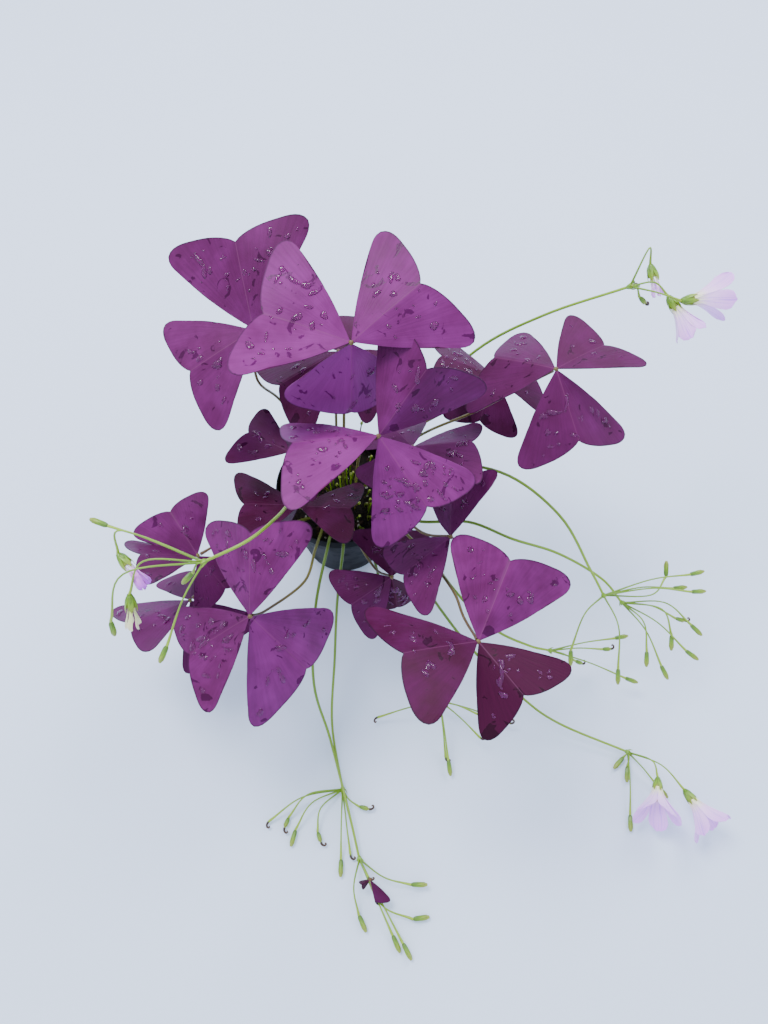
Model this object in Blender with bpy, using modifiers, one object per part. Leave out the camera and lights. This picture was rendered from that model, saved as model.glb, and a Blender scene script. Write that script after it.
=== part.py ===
"""Purple shamrock in its nursery pot: three-part leaves on long stalks, flower scapes, soil and pot.

Metres, +Z up. The origin is the centre of the pot's base. Tables are in millimetres and degrees.
A heading of 0 points along +X and 90 along +Y. The long scapes arch over the rim and lie in front.
"""

import math
from typing import NamedTuple

import bmesh
import bpy
from mathutils import Matrix, Vector

MM = 0.001
GAP = 0.3

POT_HEIGHT = 80.0
POT_RIM_RADIUS = 45.0
POT_BASE_RADIUS = 31.0
POT_LIP_HEIGHT = 9.0
POT_LIP_STEP = 1.8
POT_WALL = 1.5
POT_FLOOR = 2.0
POT_SIDES = 24
POT_RIM_ROUND = 0.5
POT_FOOT_BEVEL = 1.0
DRAIN_HOLES = 4
DRAIN_RADIUS = 3.5
DRAIN_CIRCLE = 20.0

SOIL_EDGE_HEIGHT = 69.0
SOIL_MOUND = 3.0
SOIL_SHOULDER = (0.5, 0.8)
ROOT_DEPTH = 63.0
ROOT_TOP = 74.0
HOLE_RADIUS = 1.6
HOLE_SIDES = 6
HOLE_BELOW = 1.0
HOLE_ABOVE = 3.0

BLADE_THICKNESS = 0.7
BLADE_ROWS = 2
BLADE_COLUMNS = 6
BLADE_EDGE = ((0.79, 0.0), (0.86, 0.27), (0.87, 0.52), (0.74, 0.66))
BASE_HALF_WIDTH = 0.8
BASE_REACH = 1.0
SIDE_BULGE = 0.03
BLADE_SAG = 0.10
HUB_RADIUS = 1.8
STALK_RADIUS = 0.9
STALK_RISE = 0.62
STALK_LEAN = 0.36
STALK_STEPS = 3
STALK_FOOT = 1.1
STALK_TAPER = 0.25

SCAPE_RADIUS = 0.9
SCAPE_STEPS = 2
SCAPE_TAPER = 0.3
PEDICEL_STEPS = 2
PEDICEL_RADIUS = 0.5
NODE_RADIUS = 1.7
BUD_RADIUS = 1.2
POD_RADIUS = 1.0
CALYX_RADIUS = 1.5
BUD_LENGTH = 6.0
BUD_TIP_RADIUS = 0.3
COROLLA_SIDES = 20
COROLLA_ROWS = 2
COROLLA_THICKNESS = 0.6
PETALS = 5
PETAL_DIP = 0.28
THROAT_RADIUS = 1.1
MOUTH_FLARE = 1.6
WELD = 0.01

LEAF_PURPLE = (0.105, 0.012, 0.110)
STALK_OLIVE = (0.190, 0.130, 0.045)
SCAPE_GREEN = (0.240, 0.330, 0.060)
PETAL_LILAC = (0.640, 0.430, 0.850)
POT_BLACK = (0.012, 0.012, 0.013)
SOIL_BROWN = (0.035, 0.022, 0.014)

SWELLINGS = {
    "bud": ((0.25, BUD_RADIUS), (0.7, BUD_RADIUS * 0.8), (1.0, BUD_TIP_RADIUS)),
    "pod": ((0.3, POD_RADIUS), (0.7, POD_RADIUS), (1.0, BUD_TIP_RADIUS)),
    "calyx": ((0.3, CALYX_RADIUS * 0.9), (1.0, CALYX_RADIUS)),
    "bare": (),
}


class Leaflet(NamedTuple):
    """One heart-notched leaflet: where its midrib points, how it is turned and folded, and its size."""

    heading: float
    pitch: float
    roll: float
    fold: float
    size: float


class Leaf(NamedTuple):
    """A leaf of three leaflets on one stalk, which stands in the soil at root."""

    name: str
    centre: tuple
    root: tuple
    leaflets: tuple
    via: tuple = ()


class Pedicel(NamedTuple):
    """A thin flower stalk from the scape's end to tip, with a bud, a pod, a calyx or a bare end."""

    end: str
    tip: tuple
    bow: float = 4.0
    aim: tuple = ()


class Scape(NamedTuple):
    """A flower stem: its route from the soil to its end, and the pedicels that spread from there."""

    name: str
    root: tuple
    route: tuple
    pedicels: tuple


class Bloom(NamedTuple):
    """A corolla on a calyx: the scape and the pedicel that carry it, and its length and mouth."""

    name: str
    scape: str
    pedicel: int
    length: float
    mouth: float


LEAVES = (
    Leaf("leaf_back_left", (-41, 18, 220), (-14, 10),
         (Leaflet(110, 40, -15, 20, 66), Leaflet(-155, -15, -10, 10, 58), Leaflet(20, -10, 0, 15, 30)),
         ((-22, 20, 118), (-36, 24, 148), (-44, 12, 184))),
    Leaf("leaf_crown", (14, -8, 240), (2, 2),
         (Leaflet(165, 20, 0, 5, 66), Leaflet(30, 30, 20, 20, 62), Leaflet(-90, -70, -15, 30, 60)),
         ((6, -2, 150), (9, 2, 205))),
    Leaf("leaf_back_inner", (3, 37, 179), (-2, 14),
         (Leaflet(-150, -5, 0, 25, 56), Leaflet(95, -10, 0, 15, 50), Leaflet(-20, -25, 0, 15, 46))),
    Leaf("leaf_middle", (28, -42, 205), (10, -8),
         (Leaflet(35, 40, 30, 30, 60), Leaflet(-175, 5, 20, 20, 62), Leaflet(-50, -15, 10, 30, 60))),
    Leaf("leaf_right", (127, 2, 206), (24, 4),
         (Leaflet(35, 5, -15, 5, 48), Leaflet(145, -20, -5, 20, 56), Leaflet(-70, -20, 0, 25, 58)),
         ((50, 8, 125), (72, 10, 156), (111, -10, 182))),
    Leaf("leaf_right_inner", (101, 36, 156), (18, 12),
         (Leaflet(170, 30, 35, 10, 50), Leaflet(20, -20, 0, 15, 44), Leaflet(-110, -25, 0, 15, 40)),
         ((46, 24, 108), (85, 36, 130))),
    Leaf("leaf_inner_right", (48, -20, 160), (12, 0),
         (Leaflet(0, 15, -20, 15, 48), Leaflet(118, -20, 0, 15, 36), Leaflet(-128, -30, 0, 15, 42)),
         ((31, -19, 125),)),
    Leaf("leaf_front_right", (70, -72, 144), (18, -12),
         (Leaflet(90, 5, -50, 20, 46), Leaflet(-145, -15, 15, 15, 46), Leaflet(-5, -20, -50, 25, 44)),
         ((34, -32, 108), (54, -60, 126))),
    Leaf("leaf_front_right_outer", (80, -142, 163), (20, -22),
         (Leaflet(65, 25, 0, 30, 60), Leaflet(-165, 25, 20, 10, 60), Leaflet(-50, -5, 10, 20, 50)),
         ((34, -40, 103), (54, -66, 115), (71, -98, 127), (75, -122, 145))),
    Leaf("leaf_front", (36, -77, 96), (8, -20),
         (Leaflet(-150, -15, -15, 20, 43), Leaflet(90, 5, 5, 15, 42), Leaflet(-75, -50, 0, 38, 31)),
         ((12, -45, 90), (25, -66, 85))),
    Leaf("leaf_front_left", (-44, -120, 141), (-10, -26),
         (Leaflet(95, 25, -30, 10, 64), Leaflet(-155, -10, 10, 10, 56), Leaflet(-35, -40, -5, 15, 64)),
         ((-14, -55, 92), (-19, -82, 101), (-38, -108, 120))),
    Leaf("leaf_left", (-83, -73, 120), (-22, -14),
         (Leaflet(125, 20, 0, 25, 44), Leaflet(-170, 30, 40, 10, 46), Leaflet(-45, -30, 0, 15, 36))),
    Leaf("leaf_left_low", (-94, -88, 84), (-18, -22),
         (Leaflet(-150, 20, 35, 5, 52), Leaflet(100, -25, 0, 15, 42), Leaflet(-50, -20, 0, 15, 46)),
         ((-34, -38, 91), (-62, -62, 96))),
    Leaf("leaf_inner_left", (-26, -20, 154), (-8, -2),
         (Leaflet(155, 15, 35, 15, 38), Leaflet(85, -20, 0, 15, 36), Leaflet(-15, -30, 0, 15, 32)),
         ((-17, -14, 120),)),
    Leaf("leaf_over_rim", (-22, -42, 126), (-10, -12),
         (Leaflet(-175, 25, 40, 5, 46), Leaflet(-5, 10, -20, 5, 44), Leaflet(165, -50, 0, 15, 30)),
         ((-17, -33, 101),)),
)

SCAPES = (
    Scape("scape_front", (2, -33),
          ((4, -49, 87), (2, -63, 76), (-1, -82, 58), (-3, -112, 34), (-5, -150, 9), (3, -192, 3)),
          (Pedicel("bud", (-35, -217, 3)), Pedicel("bud", (-30, -228, 3)), Pedicel("pod", (-10, -226, 3)),
           Pedicel("bare", (-45, -212, 3)), Pedicel("pod", (22, -205, 4)), Pedicel("bud", (3, -246, 3)),
           Pedicel("bare", (9, -232, 3)))),
    Scape("scape_front_long", (-5, -33),
          ((-6, -52, 90), (-14, -90, 74), (-16, -130, 40), (-6, -160, 8), (8, -208, 8), (15, -235, 4)),
          (Pedicel("bud", (20, -277, 3)), Pedicel("bare", (21, -246, 13), 2), Pedicel("bud", (59, -250, 6)),
           Pedicel("bud", (60, -268, 3)), Pedicel("bud", (41, -288, 3)), Pedicel("bud", (48, -292, 3)))),
    Scape("scape_left", (-16, -6),
          ((-19, -22, 112), (-23, -50, 150), (-27, -75, 176), (-39, -97, 191), (-62, -107, 186)),
          (Pedicel("bud", (-123, -85, 192)), Pedicel("calyx", (-102, -107, 178), 12, (6, -6, -4)),
           Pedicel("bud", (-115, -134, 148), 14, (0, -4, -8)), Pedicel("calyx", (-104, -124, 160), 8, (0, -6, -7)),
           Pedicel("bud", (-76, -113, 171)), Pedicel("bud", (-88, -150, 151), 6))),
    Scape("scape_back_right", (25, 15), ((50, 34, 118), (91, 60, 152), (131, 65, 180), (175, 58, 212)),
          (Pedicel("calyx", (190, 62, 212), 12, (2, -5, -4)), Pedicel("calyx", (213, 50, 210), 4, (8, 2, -1)),
           Pedicel("calyx", (203, 46, 205), 3, (5, -6, -4)), Pedicel("pod", (184, 66, 204)),
           Pedicel("pod", (188, 55, 200)))),
    Scape("scape_right", (29, -3),
          ((60, -8, 118), (104, -22, 134), (140, -47, 124), (163, -72, 96), (174, -83, 80)),
          (Pedicel("bud", (220, -57, 78)), Pedicel("bud", (245, -64, 76)), Pedicel("bud", (234, -73, 70)),
           Pedicel("bud", (246, -76, 70)), Pedicel("bud", (184, -134, 50), 10), Pedicel("bud", (154, -122, 52), 6))),
    Scape("scape_right_lower", (25, -10),
          ((52, -36, 95), (86, -40, 101), (114, -53, 102), (144, -60, 95), (174, -71, 80), (191, -81, 62)),
          (Pedicel("bud", (245, -101, 52)), Pedicel("bud", (223, -111, 50)), Pedicel("bud", (242, -116, 46)),
           Pedicel("bud", (221, -128, 41)), Pedicel("bud", (206, -121, 46)), Pedicel("pod", (234, -93, 58)))),
    Scape("scape_right_front", (28, -17),
          ((41, -30, 90), (57, -50, 84), (80, -78, 70), (104, -98, 58), (128, -107, 50), (144, -108, 42)),
          (Pedicel("bud", (202, -94, 32)), Pedicel("pod", (190, -103, 30)), Pedicel("pod", (170, -112, 24)),
           Pedicel("bud", (209, -123, 16)))),
    Scape("scape_front_right", (25, -25),
          ((32, -36, 89), (46, -60, 84), (84, -104, 54), (123, -134, 26), (151, -150, 12), (198, -168, 5)),
          (Pedicel("calyx", (209, -196, 20), 6, (-2, -7, 2)), Pedicel("calyx", (232, -203, 20), 6, (4, -7, 1)),
           Pedicel("bud", (187, -179, 3)), Pedicel("bud", (195, -188, 3)), Pedicel("bud", (193, -219, 3), 3),
           Pedicel("bud", (221, -198, 4), 2))),
    Scape("scape_front_mid", (14, -30),
          ((20, -44, 89), (26, -60, 70), (34, -82, 48), (50, -112, 32), (69, -137, 22)),
          (Pedicel("bare", (27, -145, 8)), Pedicel("bare", (73, -171, 4)), Pedicel("bud", (76, -184, 4)),
           Pedicel("bare", (94, -146, 22)), Pedicel("bare", (96, -160, 14)), Pedicel("pod", (119, -150, 10)))),
)

BLOOMS = (
    Bloom("bloom_left_upper", "scape_left", 1, 13, 3.5),
    Bloom("bloom_left_lower", "scape_left", 3, 11, 4.0),
    Bloom("bloom_back_right_bud", "scape_back_right", 0, 10, 3.0),
    Bloom("bloom_back_right_outer", "scape_back_right", 1, 20, 12.0),
    Bloom("bloom_back_right_inner", "scape_back_right", 2, 18, 8.0),
    Bloom("bloom_front_right_near", "scape_front_right", 0, 21, 13.0),
    Bloom("bloom_front_right_far", "scape_front_right", 1, 20, 12.0),
)

YOUNG_LEAF_FOOT = (22.3, -247.3, 14.3)
YOUNG_LEAF = (Leaflet(-20, 30, 0, 35, 14), Leaflet(-110, 15, 0, 35, 13))


def clear_scene():
    """Removes every object that the file starts with."""
    for item in list(bpy.data.objects):
        bpy.data.objects.remove(item)


def new_collection(name):
    """Makes a collection in the scene and returns it."""
    collection = bpy.data.collections.new(name)
    bpy.context.scene.collection.children.link(collection)
    return collection


def principled(name, colour, roughness):
    """Makes a plain material with one colour and one roughness."""
    material = bpy.data.materials.new(name)
    material.use_nodes = True
    shader = material.node_tree.nodes["Principled BSDF"]
    shader.inputs["Base Color"].default_value = (*colour, 1.0)
    shader.inputs["Roughness"].default_value = roughness
    shader.inputs["Metallic"].default_value = 0.0
    return material


def metres(point):
    """Turns a point in millimetres into a vector in metres."""
    return Vector(point) * MM


def add_object(name, mesh, collection, material=None):
    """Puts a mesh in the scene under a name."""
    item = bpy.data.objects.new(name, mesh)
    collection.objects.link(item)
    if material is not None:
        mesh.materials.clear()
        mesh.materials.append(material)
    return item


def evaluated_mesh(item):
    """Returns a new mesh with an object's modifiers applied, its ends welded and its faces outward."""
    bpy.context.view_layer.update()
    graph = bpy.context.evaluated_depsgraph_get()
    mesh = bpy.data.meshes.new_from_object(item.evaluated_get(graph))
    shell = bmesh.new()
    shell.from_mesh(mesh)
    bmesh.ops.remove_doubles(shell, verts=shell.verts, dist=WELD * MM)
    bmesh.ops.recalc_face_normals(shell, faces=shell.faces)
    shell.to_mesh(mesh)
    shell.free()
    return mesh


def baked(item, name, collection, material=None):
    """Replaces an object with a plain mesh object of its evaluated shape."""
    matrix = item.matrix_world.copy()
    mesh = evaluated_mesh(item)
    bpy.data.objects.remove(item)
    solid = add_object(name, mesh, collection, material)
    solid.matrix_world = matrix
    return solid


def shade_round(item, angle=40.0):
    """Shades an object smooth apart from its sharp edges."""
    item.data.shade_smooth()
    item.data.set_sharp_from_angle(angle=math.radians(angle))


def turned(name, profile, sides, collection, material):
    """Turns a profile of (radius, height) round the Z axis with a Screw modifier."""
    mesh = bpy.data.meshes.new(name)
    points = [(radius * MM, 0.0, height * MM) for radius, height in profile]
    edges = [(index, index + 1) for index in range(len(points) - 1)]
    mesh.from_pydata(points, edges, [])
    item = add_object(name, mesh, collection, material)
    screw = item.modifiers.new("Turn", "SCREW")
    screw.steps = sides
    screw.render_steps = sides
    screw.use_merge_vertices = True
    screw.merge_threshold = 0.0001
    return item


def tube(name, points, radii, depth, collection, sides_level=1):
    """Makes a closed round tube through points in millimetres, with a radius factor at each."""
    curve = bpy.data.curves.new(name, "CURVE")
    curve.dimensions = "3D"
    curve.bevel_depth = depth * MM
    curve.bevel_resolution = sides_level
    curve.use_fill_caps = True
    spline = curve.splines.new("POLY")
    spline.points.add(len(points) - 1)
    for place, point, radius in zip(spline.points, points, radii):
        place.co = (*metres(point), 1.0)
        place.radius = radius
    item = bpy.data.objects.new(name, curve)
    collection.objects.link(item)
    return baked(item, name, collection)


def smooth_route(points, steps):
    """Reads a smooth curve that runs through the given points, steps times between each two."""
    route = [Vector(point) for point in points]
    padded = [route[0] * 2 - route[1], *route, route[-1] * 2 - route[-2]]
    read = []
    for before, start, end, after in zip(padded, padded[1:], padded[2:], padded[3:]):
        for step in range(steps):
            along = step / steps
            read.append(0.5 * (2 * start + (end - before) * along
                               + (2 * before - 5 * start + 4 * end - after) * along ** 2
                               + (3 * start - before - 3 * end + after) * along ** 3))
    read.append(route[-1])
    return read


def fuse(name, pieces, collection, material):
    """Joins closed pieces into one body with a Boolean union on a collection, and applies it."""
    base, *others = pieces
    joined = bpy.data.collections.new(name + "_joined")
    for piece in others:
        joined.objects.link(piece)
    union = base.modifiers.new("Union", "BOOLEAN")
    union.operation = "UNION"
    union.operand_type = "COLLECTION"
    union.collection = joined
    union.solver = "EXACT"
    solid = baked(base, name, collection, material)
    for piece in others:
        bpy.data.objects.remove(piece)
    bpy.data.collections.remove(joined)
    solid.name = name
    return solid


def make_pot(collection, cutters, material):
    """The nursery pot: a thin tapered wall with a stepped lip, and drain holes in its floor."""
    lip_foot = POT_HEIGHT - POT_LIP_HEIGHT
    lip_radius = POT_RIM_RADIUS - POT_LIP_STEP
    profile = (
        (0.0, POT_FLOOR),
        (POT_BASE_RADIUS - POT_WALL, POT_FLOOR),
        (lip_radius - POT_WALL, lip_foot - POT_WALL),
        (POT_RIM_RADIUS - POT_WALL, lip_foot + POT_WALL),
        (POT_RIM_RADIUS - POT_WALL, POT_HEIGHT - POT_RIM_ROUND),
        (POT_RIM_RADIUS - POT_WALL + POT_RIM_ROUND, POT_HEIGHT),
        (POT_RIM_RADIUS - POT_RIM_ROUND, POT_HEIGHT),
        (POT_RIM_RADIUS, POT_HEIGHT - POT_RIM_ROUND),
        (POT_RIM_RADIUS, lip_foot),
        (lip_radius, lip_foot),
        (POT_BASE_RADIUS, POT_FOOT_BEVEL),
        (POT_BASE_RADIUS - POT_FOOT_BEVEL, 0.0),
        (0.0, 0.0),
    )
    pot = turned("pot", profile, POT_SIDES, collection, material)
    for index in range(DRAIN_HOLES):
        angle = math.tau * (index + 0.5) / DRAIN_HOLES
        place = (DRAIN_CIRCLE * math.cos(angle), DRAIN_CIRCLE * math.sin(angle), POT_FLOOR / 2)
        cutter = cylinder_cutter(f"drain_{index}", place, DRAIN_RADIUS, POT_FLOOR * 3, cutters)
        cut(pot, cutter)
    solid = baked(pot, "pot", collection, material)
    solid.name = "pot"
    shade_round(solid)
    return solid


def cylinder_cutter(name, place, radius, depth, cutters):
    """A hidden cylinder that cuts a round hole."""
    bpy.ops.mesh.primitive_cylinder_add(vertices=HOLE_SIDES, radius=radius * MM, depth=depth * MM,
                                        location=metres(place))
    cutter = bpy.context.object
    cutter.name = name
    cutter.hide_render = True
    cutter.display_type = "WIRE"
    for home in list(cutter.users_collection):
        home.objects.unlink(cutter)
    cutters.objects.link(cutter)
    return cutter


def cut(item, cutter):
    """Cuts a hole in an object with a Boolean difference."""
    boolean = item.modifiers.new("Hole", "BOOLEAN")
    boolean.operation = "DIFFERENCE"
    boolean.object = cutter
    boolean.solver = "EXACT"


def stem_roots():
    """Every place where a stalk or a scape stands in the soil."""
    return [leaf.root for leaf in LEAVES] + [scape.root for scape in SCAPES]


def make_soil(collection, cutters, material):
    """The soil: a plug that fills the pot, mounded, with a plain hole for each stem."""
    slope = (POT_RIM_RADIUS - POT_LIP_STEP - POT_BASE_RADIUS) / (POT_HEIGHT - POT_LIP_HEIGHT)
    foot_radius = POT_BASE_RADIUS - POT_WALL - GAP * 2
    edge_radius = foot_radius + slope * (SOIL_EDGE_HEIGHT - POT_FLOOR) - GAP
    profile = (
        (0.0, SOIL_EDGE_HEIGHT + SOIL_MOUND),
        (edge_radius * SOIL_SHOULDER[0], SOIL_EDGE_HEIGHT + SOIL_MOUND * SOIL_SHOULDER[1]),
        (edge_radius, SOIL_EDGE_HEIGHT),
        (foot_radius, POT_FLOOR + GAP),
        (0.0, POT_FLOOR + GAP),
    )
    soil = turned("soil", profile, POT_SIDES, collection, material)
    hole_foot = ROOT_DEPTH - HOLE_BELOW
    hole_depth = ROOT_TOP + HOLE_ABOVE - hole_foot
    for index, root in enumerate(stem_roots()):
        place = (*root, hole_foot + hole_depth / 2)
        cutter = cylinder_cutter(f"stem_hole_{index}", place, HOLE_RADIUS, hole_depth, cutters)
        cut(soil, cutter)
    solid = baked(soil, "soil", collection, material)
    solid.name = "soil"
    shade_round(solid)
    return solid


def leaflet_axes(leaflet):
    """Returns the leaflet's midrib, side and upward directions."""
    heading = math.radians(leaflet.heading)
    pitch = math.radians(leaflet.pitch)
    roll = math.radians(leaflet.roll)
    midrib = Vector((math.cos(pitch) * math.cos(heading), math.cos(pitch) * math.sin(heading), math.sin(pitch)))
    level = Vector((-math.sin(heading), math.cos(heading), 0.0))
    upright = midrib.cross(level)
    side = level * math.cos(roll) + upright * math.sin(roll)
    upward = upright * math.cos(roll) - level * math.sin(roll)
    return midrib, side, upward


def edge_of_blade(across):
    """The far edge of a unit leaflet at across, from -1 to 1: two round lobes beside a shallow notch."""
    place = abs(across) * (len(BLADE_EDGE) - 1)
    index = min(int(place), len(BLADE_EDGE) - 2)
    share = place - index
    start, end = BLADE_EDGE[index], BLADE_EDGE[index + 1]
    reach = start[0] + (end[0] - start[0]) * share
    spread = start[1] + (end[1] - start[1]) * share
    return reach, math.copysign(spread, across)


def blade_point(leaflet, foot, along, across):
    """A point of a leaflet's middle surface, folded along its midrib and sagging outward."""
    midrib, side, upward = leaflet_axes(leaflet)
    fold = math.radians(leaflet.fold)
    reach, spread = edge_of_blade(across)
    spread = spread * along + BASE_HALF_WIDTH / leaflet.size * across * (1 - along)
    spread += SIDE_BULGE * across * math.sin(math.pi * along)
    reach = reach * along + BASE_REACH / leaflet.size * (1 - along)
    sink = abs(spread) * math.sin(fold) + BLADE_SAG * reach ** 2
    return Vector(foot) + leaflet.size * (midrib * reach + side * spread * math.cos(fold) - upward * sink)


def make_blade(name, leaflet, foot, collection):
    """One leaflet as a thin closed solid: a mapped grid, triangulated and then thickened."""
    surface = bmesh.new()
    bmesh.ops.create_grid(surface, x_segments=BLADE_ROWS, y_segments=BLADE_COLUMNS, size=1.0)
    for vertex in surface.verts:
        along = (vertex.co.x + 1) / 2
        vertex.co = blade_point(leaflet, foot, along, vertex.co.y) * MM
    bmesh.ops.triangulate(surface, faces=surface.faces)
    mesh = bpy.data.meshes.new(name)
    surface.to_mesh(mesh)
    surface.free()
    item = add_object(name, mesh, collection)
    thicken(item, BLADE_THICKNESS)
    return baked(item, name, collection)


def thicken(item, thickness):
    """Gives an open surface its thickness, half to each side."""
    solidify = item.modifiers.new("Thickness", "SOLIDIFY")
    solidify.thickness = thickness * MM
    solidify.offset = 0.0
    solidify.use_even_offset = False


def ball(name, place, radius, collection):
    """A small round knot where pieces meet."""
    shell = bmesh.new()
    bmesh.ops.create_icosphere(shell, subdivisions=1, radius=radius * MM, matrix=Matrix.Translation(metres(place)))
    mesh = bpy.data.meshes.new(name)
    shell.to_mesh(mesh)
    shell.free()
    return add_object(name, mesh, collection)


def make_blades(leaf, collection, material):
    """The three leaflets of a leaf and the knot where they meet, as one body."""
    pieces = [ball(leaf.name + "_knot", leaf.centre, HUB_RADIUS, collection)]
    for index, leaflet in enumerate(leaf.leaflets):
        pieces.append(make_blade(f"{leaf.name}_{index}", leaflet, leaf.centre, collection))
    return fuse(leaf.name + "_blades", pieces, collection, material)


def stem_route(root, route, steps):
    """The way of a stem: straight up through its hole, then smoothly along its route."""
    foot = Vector((*root, ROOT_TOP))
    return [Vector((*root, ROOT_DEPTH)), *smooth_route((foot, *route), steps)]


def stalk_route(leaf):
    """The route of a leaf's stalk above the soil, leaning out to just under the knot."""
    centre = Vector(leaf.centre)
    foot = Vector((*leaf.root, ROOT_TOP))
    if leaf.via:
        middle = [Vector(point) for point in leaf.via]
    else:
        bend = foot + (centre - foot) * STALK_LEAN
        bend.z = foot.z + (centre.z - foot.z) * STALK_RISE
        middle = [bend]
    seat = centre + (middle[-1] - centre).normalized() * (HUB_RADIUS + GAP)
    return [*middle, seat]


def make_stalk(leaf, collection, material):
    """A leaf's stalk, a little thicker at its foot."""
    points = stem_route(leaf.root, stalk_route(leaf), STALK_STEPS)
    last = len(points) - 1
    radii = [STALK_FOOT - STALK_TAPER * index / last for index in range(len(points))]
    stalk = tube(leaf.name + "_stalk", points, radii, STALK_RADIUS, collection)
    stalk.data.materials.append(material)
    shade_round(stalk)
    return stalk


def pedicel_way(scape, pedicel):
    """The direction that a pedicel's tip faces."""
    if pedicel.aim:
        return Vector(pedicel.aim).normalized()
    return (Vector(pedicel.tip) - Vector(scape.route[-1])).normalized()


def make_pedicel(scape, index, pedicel, collection):
    """A pedicel, bowed upward, that ends in a bud, a pod, a calyx or nothing."""
    start = Vector(scape.route[-1])
    way = pedicel_way(scape, pedicel)
    swellings = SWELLINGS[pedicel.end]
    neck = Vector(pedicel.tip) - way * (BUD_LENGTH if swellings else 0.0)
    middle = (start + neck) / 2 + Vector((0.0, 0.0, pedicel.bow))
    points = smooth_route((start, middle, neck), PEDICEL_STEPS)
    radii = [1.0] * len(points)
    for share, radius in swellings:
        points.append(neck + way * BUD_LENGTH * share)
        radii.append(radius / PEDICEL_RADIUS)
    return tube(f"{scape.name}_{index}", points, radii, PEDICEL_RADIUS, collection, 0)


def make_scape(scape, collection, material):
    """A flower stem with its knot of bracts and all its pedicels, as one body."""
    points = stem_route(scape.root, scape.route, SCAPE_STEPS)
    last = len(points) - 1
    radii = [1.0 - SCAPE_TAPER * index / last for index in range(len(points))]
    pieces = [tube(scape.name + "_stem", points, radii, SCAPE_RADIUS, collection)]
    pieces.append(ball(scape.name + "_knot", scape.route[-1], NODE_RADIUS, collection))
    for index, pedicel in enumerate(scape.pedicels):
        pieces.append(make_pedicel(scape, index, pedicel, collection))
    return fuse(scape.name, pieces, collection, material)


def make_bloom(bloom, collection, material):
    """A five-lobed funnel of petals, seated on the end of its calyx."""
    scape = next(item for item in SCAPES if item.name == bloom.scape)
    pedicel = scape.pedicels[bloom.pedicel]
    way = pedicel_way(scape, pedicel)
    start = Vector(pedicel.tip) + way * GAP
    turn = way.to_track_quat("Z", "Y")
    surface = bmesh.new()
    bmesh.ops.create_grid(surface, x_segments=COROLLA_SIDES, y_segments=COROLLA_ROWS, size=1.0)
    for vertex in surface.verts:
        angle = math.pi * (vertex.co.x + 1)
        along = (vertex.co.y + 1) / 2
        lobe = 1.0 - PETAL_DIP + PETAL_DIP * abs(math.cos(PETALS * angle / 2))
        radius = THROAT_RADIUS + (bloom.mouth - THROAT_RADIUS) * along ** MOUTH_FLARE
        rise = bloom.length * along * (lobe * along + 1 - along)
        spot = Vector((radius * math.cos(angle), radius * math.sin(angle), rise))
        vertex.co = (start + turn @ spot) * MM
    bmesh.ops.remove_doubles(surface, verts=surface.verts, dist=WELD * MM)
    bmesh.ops.triangulate(surface, faces=surface.faces)
    bmesh.ops.recalc_face_normals(surface, faces=surface.faces)
    mesh = bpy.data.meshes.new(bloom.name)
    surface.to_mesh(mesh)
    surface.free()
    item = add_object(bloom.name, mesh, collection, material)
    thicken(item, COROLLA_THICKNESS)
    solid = baked(item, bloom.name, collection, material)
    solid.name = bloom.name
    shade_round(solid, 60.0)
    return solid


def make_young_leaf(collection, material):
    """The small leaf, still folded, among the pedicels of the long front scape."""
    pieces = [ball("young_leaf_knot", YOUNG_LEAF_FOOT, HUB_RADIUS, collection)]
    for index, leaflet in enumerate(YOUNG_LEAF):
        pieces.append(make_blade(f"young_leaf_{index}", leaflet, YOUNG_LEAF_FOOT, collection))
    return fuse("young_leaf", pieces, collection, material)


def main():
    """Builds the whole plant in its pot."""
    clear_scene()
    parts = new_collection("purple_shamrock")
    cutters = new_collection("cutters")
    purple = principled("leaf_purple", LEAF_PURPLE, 0.45)
    olive = principled("stalk_olive", STALK_OLIVE, 0.5)
    green = principled("scape_green", SCAPE_GREEN, 0.5)
    lilac = principled("petal_lilac", PETAL_LILAC, 0.6)
    make_pot(parts, cutters, principled("pot_black", POT_BLACK, 0.5))
    make_soil(parts, cutters, principled("soil_brown", SOIL_BROWN, 0.95))
    for leaf in LEAVES:
        make_stalk(leaf, parts, olive)
        make_blades(leaf, parts, purple)
    for scape in SCAPES:
        make_scape(scape, parts, green)
    for bloom in BLOOMS:
        make_bloom(bloom, parts, lilac)
    make_young_leaf(parts, purple)


main()
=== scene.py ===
"""Looks of the purple shamrock in its nursery pot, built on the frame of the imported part.

Metres, +Z up, with the origin at the centre of the pot's base. The tables and the sizes are in
millimetres and degrees. A heading of 0 points along +X and 90 along +Y, as in the part's source.
"""

import logging
import math
import random
from collections.abc import Callable, Sequence
from dataclasses import dataclass
from enum import Enum
from typing import Any

import bmesh
import bpy
import numpy as np
from mathutils import Matrix, Vector, noise


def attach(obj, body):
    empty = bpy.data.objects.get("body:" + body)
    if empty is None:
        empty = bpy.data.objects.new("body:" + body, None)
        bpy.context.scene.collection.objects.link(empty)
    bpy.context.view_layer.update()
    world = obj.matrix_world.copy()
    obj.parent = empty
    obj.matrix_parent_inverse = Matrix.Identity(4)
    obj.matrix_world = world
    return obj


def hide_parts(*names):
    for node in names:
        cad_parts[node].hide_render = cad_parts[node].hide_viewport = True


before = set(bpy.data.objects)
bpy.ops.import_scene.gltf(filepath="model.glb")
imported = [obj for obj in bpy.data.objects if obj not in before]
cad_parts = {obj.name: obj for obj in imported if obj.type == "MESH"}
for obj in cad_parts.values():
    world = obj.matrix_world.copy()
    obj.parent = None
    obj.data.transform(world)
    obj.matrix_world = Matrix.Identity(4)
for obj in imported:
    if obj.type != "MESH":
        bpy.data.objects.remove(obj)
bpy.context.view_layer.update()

logging.basicConfig(level=logging.INFO, format="%(message)s")
LOG = logging.getLogger("shamrock")

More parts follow.
